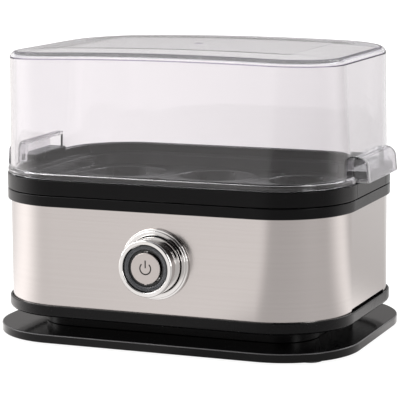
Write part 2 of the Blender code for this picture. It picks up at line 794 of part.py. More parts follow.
def make_cord_gland():
    """A bush that is trapped in the notch of the waist wall, with a flange on each side of the wall."""
    base = WAIST_BASE
    top = LIP_BASE - 2 * FIT_GAP
    middle = (base + top) / 2
    outer = HALF_DEPTH - WAIST_INSET
    inner = HALF_DEPTH - WAIST_INNER_INSET
    half = GLAND_WIDTH / 2
    flange_half = GLAND_FLANGE_WIDTH / 2
    inside = inner - FIT_GAP - GLAND_FLANGE_THICKNESS
    outside = outer + FIT_GAP + GLAND_FLANGE_THICKNESS
    side = [
        (flange_half, inside),
        (flange_half, inner - FIT_GAP),
        (half, inner - FIT_GAP),
        (half, outer + FIT_GAP),
        (flange_half, outer + FIT_GAP),
        (flange_half, outside),
    ]
    outline = [(x, y, base) for x, y in side] + [(-x, y, base) for x, y in reversed(side)]
    gland = make_object("cord_gland", prism(outline, (0, 0, top - base)), "rubber")
    bore = (top - base) / 2 - GLAND_WALL
    drill = rod(bore, -CUT_OVERRUN, outside - inside + CUT_OVERRUN)
    tool = make_object("cord_gland_bore", drill, place=(0, inside, middle), turn=(-math.pi / 2, 0, 0))
    cut(gland, tool)


def make_steel_sleeve():
    profile = [
        (0, SLEEVE_BASE),
        (0, SLEEVE_TOP),
        (-SLEEVE_WALL, SLEEVE_TOP),
        (-SLEEVE_WALL, SLEEVE_BASE),
    ]
    sleeve = make_object("steel_sleeve", swept_ring(profile), "brushed_steel")
    hole = rod(BARREL_RADIUS + FIT_GAP, -BARREL_REAR, KNOB_REACH, KNOB_STEPS)
    cut(sleeve, make_object("steel_sleeve_hole", hole, place=knob_place(), turn=(math.pi / 2, 0, 0)))
    low = SLEEVE_BASE - CUT_OVERRUN
    high = LIP_TOP + SLEEVE_NOTCH_RISE
    notches = []
    for side in (-1, 1):
        xs = sorted((side * CORNER_X, side * (HALF_LENGTH + CUT_OVERRUN)))
        notch = block((xs[0], -CORNER_Y, low), (xs[1], CORNER_Y, high))
        notches.append((notch, placed()))
    cut(sleeve, make_object("steel_sleeve_notches", gathered(notches)))


def make_top_bezel():
    """The lower black ring. Its spigot centres the sleeve and its corner legs carry the screw posts."""
    leg_base = POST_TOP - GUSSET_HEIGHT
    spigot_base = BEZEL_WEB_BASE - BEZEL_SPIGOT_DROP
    profile = rounded(
        [
            (RING_OVERHANG, BEZEL_BASE, RING_EDGE),
            (RING_OVERHANG, BEZEL_TOP, RING_EDGE),
            (-LEDGE_INSET, BEZEL_TOP, 0),
            (-LEDGE_INSET, BEZEL_WEB_BASE, 0),
            (-SPIGOT_INSET, BEZEL_WEB_BASE, 0),
            (-SPIGOT_INSET, leg_base, 0),
            (-SLEEVE_CLEAR_INSET, leg_base, 0),
            (-SLEEVE_CLEAR_INSET, BEZEL_WEB_BASE, 0),
            (FIT_GAP, BEZEL_WEB_BASE, 0),
            (FIT_GAP, BEZEL_BASE, 0),
        ]
    )
    bezel = make_object("top_bezel", swept_ring(profile), "black_plastic")
    floor = leg_base - CUT_OVERRUN
    windows = [
        block((-CORNER_X, -HALF_DEPTH, floor), (CORNER_X, HALF_DEPTH, spigot_base)),
        block((-HALF_LENGTH, -CORNER_Y, floor), (HALF_LENGTH, CORNER_Y, spigot_base)),
    ]
    for number, window in enumerate(windows, start=1):
        cut(bezel, make_object(f"top_bezel_window_{number}", window))
    cut(bezel, spigot_gap_cutter("top_bezel_knob_gap", floor, BEZEL_WEB_BASE - FIT_GAP))
    leg_reach = BODY_RADIUS - (SLEEVE_CLEAR_INSET + SPIGOT_INSET) / 2
    half = GUSSET_WIDTH / 2
    posts = []
    gussets = []
    for x, y in corner_places(BOSS_REACH):
        posts.append((rod(POST_RADIUS, POST_BASE, POST_TOP), placed(x, y)))
        angle = math.atan2(y / abs(y), x / abs(x))
        gusset = block((0, -half, leg_base), (leg_reach - BOSS_REACH, half, POST_TOP))
        gussets.append((gusset, placed(x, y) @ Matrix.Rotation(angle, 4, "Z")))
    join(bezel, make_object("top_bezel_gussets", gathered(gussets)))
    join(bezel, make_object("top_bezel_posts", gathered(posts)))
    holes = []
    hole_end = POST_BASE + SCREW_BITE + SCREW_RADIUS
    for x, y in corner_places(BOSS_REACH):
        hole = rod(SCREW_RADIUS + FIT_GAP, POST_BASE - CUT_OVERRUN, hole_end, SCREW_STEPS)
        holes.append((hole, placed(x, y)))
    cut(bezel, make_object("top_bezel_holes", gathered(holes)))


# Pan and collar

def make_pan_seal():
    low = SEAL_BASE
    high = SEAL_BASE + SEAL_THICKNESS
    inner = SEAL_INSET + SEAL_WIDTH
    profile = [(-SEAL_INSET, low), (-SEAL_INSET, high), (-inner, high), (-inner, low)]
    make_object("pan_seal", swept_ring(profile), "seal_rubber")


def make_boiling_pan():
    outer_mouth = PAN_MOUTH_INSET - PAN_WALL
    outer_floor = PAN_FLOOR_INSET - PAN_WALL
    cap_inset = PAN_FLOOR_INSET + 2 * PAN_FLOOR_EDGE
    profile = rounded(
        [
            (-cap_inset, PAN_UNDERSIDE, 0),
            (-outer_floor, PAN_UNDERSIDE, PAN_FLOOR_EDGE + PAN_WALL),
            (-outer_mouth, PAN_FLANGE_BASE, PAN_WALL / 2),
            (-PAN_FLANGE_INSET, PAN_FLANGE_BASE, 0),
            (-PAN_FLANGE_INSET, PAN_RIM, 0),
            (-PAN_MOUTH_INSET, PAN_RIM, PAN_WALL),
            (-PAN_FLOOR_INSET, PAN_FLOOR, PAN_FLOOR_EDGE),
            (-cap_inset, PAN_FLOOR, 0),
        ],
        closed=False,
    )
    make_object("boiling_pan", dish(profile), "pan_steel")


def make_pan_collar():
    """The upper black ring. It clamps the pan, carries tray and lid, and is notched for the grips."""
    profile = rounded(
        [
            (RING_OVERHANG, COLLAR_BASE, RING_EDGE),
            (RING_OVERHANG, COLLAR_TOP, RING_EDGE),
            (-COLLAR_SEAT_WIDTH, COLLAR_TOP, RING_EDGE),
            (-COLLAR_SEAT_WIDTH, LEDGE_TOP, 0),
            (-LEDGE_INSET, LEDGE_TOP, RING_EDGE),
            (-LEDGE_INSET, COLLAR_STEP, 0),
            (-COLLAR_LEG_INSET, COLLAR_STEP, 0),
            (-COLLAR_LEG_INSET, COLLAR_BASE, 0),
        ]
    )
    collar = make_object("pan_collar", swept_ring(profile), "black_plastic")
    half = GRIP_PANEL_HALF_WIDTH + FIT_GAP
    panel_back = HALF_LENGTH + RING_OVERHANG - GRIP_PANEL_THICKNESS - FIT_GAP
    beyond = HALF_LENGTH + RING_OVERHANG + CUT_OVERRUN
    bridge_floor = COLLAR_TOP - GRIP_BRIDGE_THICKNESS - FIT_GAP
    high = COLLAR_TOP + CUT_OVERRUN
    bridge_notch = (HALF_LENGTH - LEDGE_INSET, bridge_floor)
    panel_notch = (panel_back, COLLAR_BASE - CUT_OVERRUN)
    cutters = []
    for side in (-1, 1):
        for inner, low in (bridge_notch, panel_notch):
            xs = sorted((side * inner, side * beyond))
            cutters.append(block((xs[0], -half, low), (xs[1], half, high)))
    for number, cutter in enumerate(cutters, start=1):
        cut(collar, make_object(f"pan_collar_notch_{number}", cutter))


# Heater

def element_path():
    half_length = ELEMENT_LENGTH / 2
    half_width = ELEMENT_WIDTH / 2
    leg_x = ELEMENT_LEG_SPACING / 2
    leg_base = ELEMENT_HEIGHT - ELEMENT_LEG_DROP
    corners = [
        (-leg_x, half_width, leg_base),
        (-leg_x, half_width, ELEMENT_HEIGHT),
        (-half_length, half_width, ELEMENT_HEIGHT),
        (-half_length, -half_width, ELEMENT_HEIGHT),
        (half_length, -half_width, ELEMENT_HEIGHT),
        (half_length, half_width, ELEMENT_HEIGHT),
        (leg_x, half_width, ELEMENT_HEIGHT),
        (leg_x, half_width, leg_base),
    ]
    leg_bends = rounded_path(corners[:3], ELEMENT_LEG_BEND, ARC_STEPS + 1)[:-1]
    loop = rounded_path(corners[1:7], ELEMENT_BEND, CORNER_STEPS)[1:-1]
    last_bends = rounded_path(corners[5:], ELEMENT_LEG_BEND, ARC_STEPS + 1)[1:]
    return leg_bends + loop + last_bends


def make_heating_element():
    tube("heating_element", element_path(), ELEMENT_RADIUS, "heater_sheath")


def reflector_plan():
    return {
        "half_length": HALF_LENGTH - REFLECTOR_END_INSET,
        "half_depth": HALF_DEPTH - SWITCH_REACH - FIT_GAP,
        "radius": REFLECTOR_RADIUS,
    }


def make_heat_reflector():
    rim_top = REFLECTOR_TOP + REFLECTOR_RIM
    cap_inset = 2 * REFLECTOR_EDGE + REFLECTOR_WALL
    profile = rounded(
        [
            (-cap_inset, REFLECTOR_BASE, 0),
            (0, REFLECTOR_BASE, REFLECTOR_EDGE),
            (0, rim_top, 0),
            (-REFLECTOR_WALL, rim_top, 0),
            (-REFLECTOR_WALL, REFLECTOR_TOP, REFLECTOR_EDGE),
            (-cap_inset, REFLECTOR_TOP, 0),
        ],
        closed=False,
    )
    reflector = make_object("heat_reflector", dish(profile, **reflector_plan()), "zinc_plate")
    low = REFLECTOR_BASE - CUT_OVERRUN
    high = REFLECTOR_TOP + CUT_OVERRUN
    holes = [(rod(THERMOSTAT_NECK_RADIUS + FIT_GAP, low, high), placed())]
    for side in (-1, 1):
        hole = rod(ELEMENT_RADIUS + FIT_GAP, low, high)
        holes.append((hole, placed(side * ELEMENT_LEG_SPACING / 2, ELEMENT_WIDTH / 2)))
    cut(reflector, make_object("heat_reflector_holes", gathered(holes)))


def make_thermostat():
    top = PAN_UNDERSIDE - FIT_GAP
    base = REFLECTOR_TOP + FIT_GAP
    flange_top = base + THERMOSTAT_FLANGE_THICKNESS
    neck_base = REFLECTOR_BASE - THERMOSTAT_NECK_DROP
    profile = [
        (0, neck_base),
        (THERMOSTAT_NECK_RADIUS, neck_base),
        (THERMOSTAT_NECK_RADIUS, base),
        (THERMOSTAT_RADIUS + THERMOSTAT_FLANGE, base),
        (THERMOSTAT_RADIUS + THERMOSTAT_FLANGE, flange_top),
        (THERMOSTAT_RADIUS, flange_top),
        (THERMOSTAT_RADIUS, top),
        (0, top),
    ]
    thermostat = make_object("thermostat", turned(profile, SMALL_STEPS), "phenolic")
    blades = []
    for side in (-1, 1):
        blade = block(
            (-BLADE_THICKNESS / 2, -BLADE_WIDTH / 2, neck_base - BLADE_LENGTH),
            (BLADE_THICKNESS / 2, BLADE_WIDTH / 2, neck_base + BLADE_THICKNESS),
        )
        blades.append((blade, placed(side * BLADE_SPACING / 2)))
    join(thermostat, make_object("thermostat_blades", gathered(blades)))


def fuse_height():
    return REFLECTOR_BASE - FIT_GAP - FUSE_RADIUS


def make_thermal_fuse():
    end = FUSE_LENGTH / 2 + FUSE_TAIL
    body = FUSE_LENGTH / 2
    profile = [
        (0, -end),
        (FUSE_TAIL_RADIUS, -end),
        (FUSE_TAIL_RADIUS, -body),
        (FUSE_RADIUS, -body),
        (FUSE_RADIUS, body),
        (FUSE_TAIL_RADIUS, body),
        (FUSE_TAIL_RADIUS, end),
        (0, end),
    ]
    shape = turned(profile, SCREW_STEPS)
    place = (FUSE_PLACE, 0, fuse_height())
    make_object("thermal_fuse", shape, "white_nylon", place=place, turn=(0, math.pi / 2, 0))


def terminal_place():
    return HALF_DEPTH - WAIST_INNER_INSET - TERMINAL_SETBACK


def make_terminal_block():
    base = PLATE_TOP + FIT_GAP
    top = base + TERMINAL_HEIGHT
    middle = terminal_place()
    half = TERMINAL_LENGTH / 2
    body = block(
        (-half, middle - TERMINAL_DEPTH / 2, base), (half, middle + TERMINAL_DEPTH / 2, top), TERMINAL_EDGE
    )
    terminal = make_object("terminal_block", body, "white_nylon")
    slots = []
    for side in (-1, 0, 1):
        slot = block(
            (-TERMINAL_SLOT_WIDTH / 2, 0, top - TERMINAL_SLOT_DEPTH),
            (TERMINAL_SLOT_WIDTH / 2, TERMINAL_DEPTH, top + CUT_OVERRUN),
        )
        slots.append((slot, placed(side * TERMINAL_PITCH, middle)))
    cut(terminal, make_object("terminal_block_slots", gathered(slots)))


def make_leads():
    """Inner leads, each along a slack curve that ends a fit gap short of its terminals."""
    rise = PLATE_TOP + FIT_GAP + TERMINAL_HEIGHT + FIT_GAP
    start_y = terminal_place() - TERMINAL_DEPTH / 4
    leg_x = ELEMENT_LEG_SPACING / 2
    leg_y = ELEMENT_WIDTH / 2
    leg_z = ELEMENT_HEIGHT - ELEMENT_LEG_DROP - FIT_GAP
    switch_y = -HALF_DEPTH + SWITCH_REACH + FIT_GAP
    blade_z = REFLECTOR_BASE - THERMOSTAT_NECK_DROP - BLADE_LENGTH - FIT_GAP
    blade_x = BLADE_SPACING / 2
    fuse_end = FUSE_LENGTH / 2 + FUSE_TAIL + FIT_GAP
    side = SWITCH_BODY_WIDTH / 4
    routes = {
        "lead_line_in": (
            "lead_brown",
            [
                (-TERMINAL_PITCH, start_y, rise),
                (-TERMINAL_PITCH, start_y, rise + LEAD_SLACK),
                (-leg_x, leg_y, leg_z - LEAD_SLACK),
                (-leg_x, leg_y, leg_z),
            ],
        ),
        "lead_neutral_in": (
            "lead_blue",
            [
                (0, start_y, rise),
                (0, start_y, rise + LEAD_SLACK),
                (-side, 0, (rise + blade_z) / 2),
                (KNOB_OFFSET - side, switch_y + LEAD_SLACK, KNOB_HEIGHT),
                (KNOB_OFFSET - side, switch_y, KNOB_HEIGHT),
            ],
        ),
        "lead_switch_to_thermostat": (
            "lead_white",
            [
                (KNOB_OFFSET + side, switch_y, KNOB_HEIGHT),
                (KNOB_OFFSET + side, switch_y + LEAD_SLACK, KNOB_HEIGHT),
                (0, -LEAD_SLACK, blade_z - LEAD_SLACK),
                (-blade_x, 0, blade_z - LEAD_SLACK * LEAD_END_SHARE),
                (-blade_x, 0, blade_z),
            ],
        ),
        "lead_thermostat_to_fuse": (
            "lead_white",
            [
                (blade_x, 0, blade_z),
                (blade_x, 0, blade_z - LEAD_SLACK * LEAD_END_SHARE),
                (FUSE_PLACE - fuse_end - LEAD_SLACK, 0, fuse_height() - LEAD_SLACK * LEAD_END_SHARE),
                (FUSE_PLACE - fuse_end, 0, fuse_height()),
            ],
        ),
        "lead_fuse_to_element": (
            "lead_white",
            [
                (FUSE_PLACE + fuse_end, 0, fuse_height()),
                (FUSE_PLACE + fuse_end + LEAD_SLACK, 0, fuse_height() - LEAD_SLACK * LEAD_END_SHARE),
                (FUSE_PLACE, leg_y, leg_z - 2 * LEAD_SLACK),
                (leg_x, leg_y, leg_z - LEAD_SLACK),
                (leg_x, leg_y, leg_z),
            ],
        ),
    }
    for name, (finish, corners) in routes.items():
        tube(name, smooth_route(corners, LEAD_STEPS, LEAD_RADIUS), LEAD_RADIUS, finish, sides=1)


# Knob, button and switch

def knob_place():
    return (KNOB_OFFSET, -HALF_DEPTH, KNOB_HEIGHT)


def knob_piece(name, shape, finish=None):
    """A piece turned round the knob's axis. Its heights count outwards from the steel's front face."""
    return make_object(name, shape, finish, place=knob_place(), turn=(math.pi / 2, 0, 0))


def make_knob_flange():
    inner = BARREL_RADIUS + FIT_GAP
    step = FLANGE_RADIUS - FLANGE_STEP_WIDTH
    top = FIT_GAP + FLANGE_THICKNESS
    profile = rounded(
        [
            (inner, FIT_GAP, 0),
            (FLANGE_RADIUS, FIT_GAP, 0),
            (FLANGE_RADIUS, top - FLANGE_STEP_DEPTH, FLANGE_EDGE),
            (step, top - FLANGE_STEP_DEPTH, 0),
            (step, top, FLANGE_EDGE),
            (inner, top, FLANGE_EDGE),
        ]
    )
    knob_piece("knob_flange", turned(profile, KNOB_STEPS), "chrome")


def make_knob_barrel():
    bore = LIGHT_RING_RADIUS + FIT_GAP
    stem_bore = STEM_RADIUS + STEM_PLAY
    web_back = BARREL_WEB_REACH
    web_front = BARREL_WEB_REACH + BARREL_WEB
    profile = rounded(
        [
            (BARREL_RADIUS, -BARREL_REAR, 0),
            (BARREL_RADIUS, KNOB_REACH, BARREL_EDGE),
            (bore, KNOB_REACH, BARREL_BORE_EDGE),
            (bore, web_front, 0),
            (stem_bore, web_front, 0),
            (stem_bore, web_back, 0),
            (bore, web_back, 0),
            (bore, -BARREL_REAR, 0),
        ]
    )
    knob_piece("knob_barrel", turned(profile, KNOB_STEPS), "chrome")


def make_barrel_nut():
    front = -SLEEVE_WALL - FIT_GAP
    inner = BARREL_RADIUS + FIT_GAP
    back = front - NUT_THICKNESS
    profile = [(inner, back), (NUT_RADIUS, back), (NUT_RADIUS, front), (inner, front)]
    knob_piece("barrel_nut", turned(profile, KNOB_STEPS), "zinc_plate")


def board_front():
    return BARREL_WEB_REACH + BARREL_WEB + FIT_GAP + BOARD_THICKNESS


def ring_front():
    return KNOB_REACH - LIGHT_RING_RECESS


def make_indicator_board():
    back = board_front() - BOARD_THICKNESS
    inner = LIGHT_RING_RADIUS - LIGHT_RING_WIDTH
    profile = [
        (inner, back),
        (LIGHT_RING_RADIUS, back),
        (LIGHT_RING_RADIUS, board_front()),
        (inner, board_front()),
    ]
    knob_piece("indicator_board", turned(profile, SMALL_STEPS), "board_green")


def make_light_ring():
    back = board_front() + FIT_GAP
    inner = LIGHT_RING_RADIUS - LIGHT_RING_WIDTH
    slope_end = LIGHT_RING_RADIUS - LIGHT_RING_SLOPE_WIDTH
    groove = ring_front() - LIGHT_RING_GROOVE_DEPTH
    profile = rounded(
        [
            (inner, back, 0),
            (LIGHT_RING_RADIUS, back, 0),
            (LIGHT_RING_RADIUS, ring_front(), LIGHT_RING_EDGE),
            (slope_end, ring_front() - LIGHT_RING_SLOPE_DEPTH, 0),
            (slope_end - LIGHT_RING_GROOVE_DRAFT, groove, 0),
            (inner, groove, 0),
        ]
    )
    knob_piece("light_ring", turned(profile, KNOB_STEPS), "smoked_plastic")


def make_power_button():
    front = ring_front()
    back = front - BUTTON_THICKNESS
    profile = rounded(
        [
            (0, -STEM_REAR, 0),
            (STEM_RADIUS, -STEM_REAR, 0),
            (STEM_RADIUS, back, 0),
            (BUTTON_RADIUS, back, 0),
            (BUTTON_RADIUS, front, BUTTON_EDGE),
            (0, front, 0),
        ],
        closed=False,
    )
    knob_piece("power_button", turned(profile, KNOB_STEPS), "satin_metal")


def make_button_spring():
    """A compression spring between the barrel's web and the back of the button."""
    low = BARREL_WEB_REACH + BARREL_WEB + FIT_GAP + SPRING_WIRE
    high = ring_front() - BUTTON_THICKNESS - FIT_GAP - SPRING_WIRE
    count = SPRING_TURNS * SPRING_STEPS
    points = []
    for step in range(count + 1):
        angle = math.tau * step / SPRING_STEPS
        along = low + (high - low) * step / count
        x, _, z = knob_place()
        points.append(
            (
                x + SPRING_RADIUS * math.cos(angle),
                -HALF_DEPTH - along,
                z + SPRING_RADIUS * math.sin(angle),
            )
        )
    pitch = (high - low) / SPRING_TURNS
    print(f"button_spring: least gap between its turns {1000 * (pitch - 2 * SPRING_WIRE):.2f} mm")
    tube("button_spring", points, SPRING_WIRE, "zinc_plate", sides=1)


def make_switch_module():
    """The push switch on the barrel's rear end, with its plunger a travel behind the button's stem."""
    plate_front = -BARREL_REAR - FIT_GAP
    plate_back = plate_front - SWITCH_PLATE_THICKNESS
    plunger_front = -STEM_REAR - BUTTON_TRAVEL * (1 + TRAVEL_MARGIN_SHARE)
    profile = [
        (0, plate_back),
        (BARREL_RADIUS, plate_back),
        (BARREL_RADIUS, plate_front),
        (SWITCH_PLUNGER_RADIUS, plate_front),
        (SWITCH_PLUNGER_RADIUS, plunger_front),
        (0, plunger_front),
    ]
    module = knob_piece("switch_module", turned(profile, SMALL_STEPS), "phenolic")
    body = block(
        (-SWITCH_BODY_WIDTH / 2, -SWITCH_BODY_HEIGHT / 2, plate_back - SWITCH_BODY_DEPTH),
        (SWITCH_BODY_WIDTH / 2, SWITCH_BODY_HEIGHT / 2, (plate_back + plate_front) / 2),
    )
    join(module, knob_piece("switch_module_body", body))


# Egg tray

def seat_places():
    return [
        (column * SEAT_PITCH_LONG, row * SEAT_PITCH_DEEP / 2) for row in (-1, 1) for column in (-1, 0, 1)
    ]


def cup_radius(height):
    """Inner radius of a seat's funnel at the given height."""
    share = (height - CUP_BASE) / SEAT_DEPTH
    return SEAT_THROAT_RADIUS + share * (SEAT_RADIUS - SEAT_THROAT_RADIUS)


def make_tray_basin():
    cap_inset = DECK_INSET + 2 * TRAY_EDGE
    profile = rounded(
        [
            (-cap_inset, DECK_BASE, 0),
            (-TRAY_BOTTOM_INSET, DECK_BASE, TRAY_EDGE),
            (-TRAY_TOP_INSET, TRAY_FLANGE_BASE, 0),
            (-TRAY_RIM_INSET, TRAY_FLANGE_BASE, 0),
            (-TRAY_RIM_INSET, TRAY_RIM_TOP, TRAY_EDGE),
            (-TRAY_RIM_INNER_INSET, TRAY_RIM_TOP, TRAY_EDGE),
            (-TRAY_RIM_INNER_INSET, TRAY_FLANGE_TOP, TRAY_EDGE),
            (-TRAY_TOP_INSET - TRAY_WALL, TRAY_FLANGE_TOP, TRAY_EDGE),
            (-DECK_INSET, DECK_TOP, TRAY_EDGE),
            (-cap_inset, DECK_TOP, 0),
        ],
        closed=False,
    )
    return make_object("egg_tray", dish(profile), "black_plastic")


def grip_profiles():
    """The bridge with its flush panel, and the riser with its tab, as (x, z, radius) on the +X side."""
    root = HALF_LENGTH - (TRAY_RIM_INSET + TRAY_RIM_INNER_INSET) / 2
    face = HALF_LENGTH + RING_OVERHANG
    panel_back = face - GRIP_PANEL_THICKNESS
    bridge_base = COLLAR_TOP - GRIP_BRIDGE_THICKNESS
    bridge_middle = COLLAR_TOP - GRIP_BRIDGE_THICKNESS / 2
    tab_end = HALF_LENGTH + GRIP_TAB_REACH
    tab_root = tab_end - GRIP_TAB_WIDTH
    riser_face = face - GRIP_EDGE
    riser_back = panel_back - GRIP_EDGE
    panel = [
        (root, bridge_base, 0),
        (root, COLLAR_TOP, 0),
        (face, COLLAR_TOP, GRIP_EDGE),
        (face, COLLAR_BASE, GRIP_EDGE),
        (panel_back, COLLAR_BASE, 0),
        (panel_back, bridge_base, 0),
    ]
    tab = [
        (riser_back, bridge_middle, 0),
        (riser_back, TAB_BASE, GRIP_EDGE),
        (tab_root, TAB_BASE, GRIP_EDGE),
        (tab_root, TAB_TOP, GRIP_EDGE),
        (tab_end, TAB_TOP, GRIP_EDGE),
        (tab_end, TAB_BASE, GRIP_EDGE),
        (riser_face, TAB_BASE, GRIP_EDGE),
        (riser_face, bridge_middle, 0),
    ]
    return ((panel, GRIP_PANEL_HALF_WIDTH), (tab, GRIP_HALF_WIDTH))


def make_grips(tray):
    for side in (-1, 1):
        for name, (profile, half) in zip(("panel", "tab"), grip_profiles()):
            points = [(side * x, z) for x, z in rounded(profile)]
            label = "left" if side < 0 else "right"
            join(tray, make_object(f"egg_tray_{name}_{label}", extruded(points, half)))


def slot_bars(turn):
    """A bar across the lower part of each cup, as long as its steam slots need."""
    low = CUP_BASE - CUT_OVERRUN
    high = CUP_BASE + CUP_SLOT_HEIGHT
    reach = cup_radius(high) + CUP_WALL + CUT_OVERRUN
    half = CUP_SLOT_WIDTH / 2
    bars = []
    for x, y in seat_places():
        bar = block((-reach, -half, low), (reach, half, high))
        bars.append((bar, placed(x, y) @ Matrix.Rotation(turn, 4, "Z")))
    return gathered(bars)


def make_cups(tray):
    """The six seats. Their facets are turned so that each steam slot lies within one facet."""
    low = CUP_BASE
    joined = (DECK_BASE + DECK_TOP) / 2
    under = low - CUT_OVERRUN
    over = DECK_TOP + CUT_OVERRUN
    facet_turn = Matrix.Rotation(math.pi / 4 + math.pi / CUP_STEPS, 4, "Z")
    walls = []
    bores = []
    for x, y in seat_places():
        wall = rod(cup_radius(low) + CUP_WALL, low, joined, CUP_STEPS, cup_radius(joined) + CUP_WALL)
        walls.append((wall, placed(x, y) @ facet_turn))
        bore = rod(cup_radius(under), under, over, CUP_STEPS, cup_radius(over))
        bores.append((bore, placed(x, y) @ facet_turn))
    cups = make_object("egg_tray_cups", gathered(walls))
    cut(cups, make_object("egg_tray_slots_a", slot_bars(math.pi / 4)))
    cut(cups, make_object("egg_tray_slots_b", slot_bars(-math.pi / 4)))
    join(tray, cups)
    cut(tray, make_object("egg_tray_bores", gathered(bores)))


def make_steam_holes(tray):
    """Holes in the deck on its long middle line, between the seats and next to the end walls."""
    between = SEAT_PITCH_LONG / 2
    at_end = SEAT_PITCH_LONG + SEAT_RADIUS
    holes = []
    for x in (-at_end, -between, between, at_end):
        hole = rod(STEAM_HOLE_RADIUS, DECK_BASE - CUT_OVERRUN, DECK_TOP + CUT_OVERRUN, SMALL_STEPS)
        holes.append((hole, placed(x)))
    cut(tray, make_object("egg_tray_steam_holes", gathered(holes)))


def make_egg_tray():
    tray = make_tray_basin()
    make_grips(tray)
    make_cups(tray)
    make_steam_holes(tray)
    weld = tray.modifiers.new("weld", "WELD")
    weld.merge_threshold = WELD_DISTANCE


# Lid

def lid_share(height):
    """How far up the lid's wall a height lies, from nothing at the flange to one at the top."""
    return min(max((height - LID_FLANGE_TOP) / (LID_TOP - LID_FLANGE_TOP), 0), 1)


def lid_lift(x, height):
    """How far the long arch lifts a point of the lid."""
    return LID_ARCH * lid_share(height) * (1 - (x / HALF_LENGTH) ** 2)


def lid_rings(profile):
    """The lid's corners tighten a little towards its top."""
    rings = []
    for offset, height in profile:
        radius = BODY_RADIUS - LID_CORNER_TIGHTENING * lid_share(height)
        ring = plan(offset, radius=radius, side_steps=SIDE_STEPS)
        rings.append([(x, y, height + lid_lift(x, height)) for x, y in ring])
    return rings


def lid_crown(inset, height):
    """Corners of the top, going inwards from the fillet to a small ring with a slight crown."""
    room = BODY_RADIUS - LID_CORNER_TIGHTENING - inset
    last = CROWN_RING_SHARES[-1]
    return [(-inset - room * share, height + LID_CROWN * share / last, 0) for share in CROWN_RING_SHARES]


def lid_outside():
    top_inset = LID_WALL_INSET + LID_DRAFT
    corners = [
        (-LID_WALL, LID_BASE, 0),
        (LID_FLANGE_OVERHANG, LID_BASE, LID_FLANGE_EDGE),
        (LID_FLANGE_OVERHANG, LID_FLANGE_TOP, LID_FLANGE_EDGE),
        (-LID_WALL_INSET, LID_FLANGE_TOP, LID_FLANGE_EDGE),
        (-top_inset, LID_TOP, LID_FILLET),
        *lid_crown(top_inset + LID_FILLET, LID_TOP),
    ]
    return skin(lid_rings(rounded(corners, closed=False)), closed=False)


def lid_inside():
    bottom_inset = LID_WALL_INSET + LID_WALL
    top_inset = bottom_inset + LID_DRAFT
    ceiling = LID_TOP - LID_WALL
    corners = [
        (-bottom_inset, LID_BASE - CUT_OVERRUN, 0),
        (-bottom_inset, LID_FLANGE_TOP, 0),
        (-top_inset, ceiling, max(LID_FILLET - LID_WALL, LID_WALL / 2)),
        *lid_crown(top_inset + LID_FILLET, ceiling),
    ]
    return skin(lid_rings(rounded(corners, closed=False)), closed=False)


def hood_profile(wall):
    """Arch section of a hood, at +X. wall is zero for the outside and the hood's wall for its hollow."""
    root = HALF_LENGTH - LID_WALL_INSET - LID_WALL - LID_DRAFT
    outer = HALF_LENGTH + HOOD_REACH - wall
    base = LID_BASE if wall == 0 else LID_BASE - CUT_OVERRUN
    top = LID_BASE + HOOD_HEIGHT - wall
    radius = HOOD_TOP_RADIUS - wall
    return rounded([(root, base, 0), (outer, base, 0), (outer - HOOD_DRAFT, top, radius), (root, top, 0)])


def add_edge_bevel(target, width):
    modifier = target.modifiers.new("edges", "BEVEL")
    modifier.width = width
    modifier.segments = 2
    modifier.limit_method = "ANGLE"
    modifier.angle_limit = math.radians(60)


def make_lid():
    lid = make_object("lid", lid_outside(), "clear_plastic")
    for side, label in ((-1, "left"), (1, "right")):
        points = [(side * x, z) for x, z in hood_profile(0)]
        hood = make_object(f"lid_hood_{label}", extruded(points, HOOD_HALF_WIDTH))
        add_edge_bevel(hood, HOOD_EDGE)
        join(lid, hood)
    cut(lid, make_object("lid_hollow", lid_inside()))
    for side, label in ((-1, "left"), (1, "right")):
        points = [(side * x, z) for x, z in hood_profile(HOOD_WALL)]
        half = HOOD_HALF_WIDTH - HOOD_WALL
        cut(lid, make_object(f"lid_hood_hollow_{label}", extruded(points, half)))
    vent = rod(VENT_RADIUS, LID_TOP - 2 * LID_WALL, LID_TOP + LID_ARCH + LID_CROWN + CUT_OVERRUN)
    cut(lid, make_object("lid_vent", vent))


def main():
    clear_scene()
    assembly = bpy.data.objects.new("assembly", None)
    assembly.location = (0, ASSEMBLY_SETBACK, 0)
    bpy.context.scene.collection.objects.link(assembly)
    make_base_cover()
    make_foot_pads()
    make_case_screws()
    make_chassis()
    make_cord_gland()
    make_steel_sleeve()
    make_top_bezel()
    make_pan_seal()
    make_boiling_pan()
    make_pan_collar()
    make_heating_element()
    make_heat_reflector()
    make_thermostat()
    make_thermal_fuse()
    make_terminal_block()
    make_leads()
    make_knob_flange()
    make_knob_barrel()
    make_barrel_nut()
    make_indicator_board()
    make_light_ring()
    make_power_button()
    make_button_spring()
    make_switch_module()
    make_egg_tray()
    make_lid()


main()
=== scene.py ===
import math

import bmesh
import bpy
from mathutils import Matrix, Vector


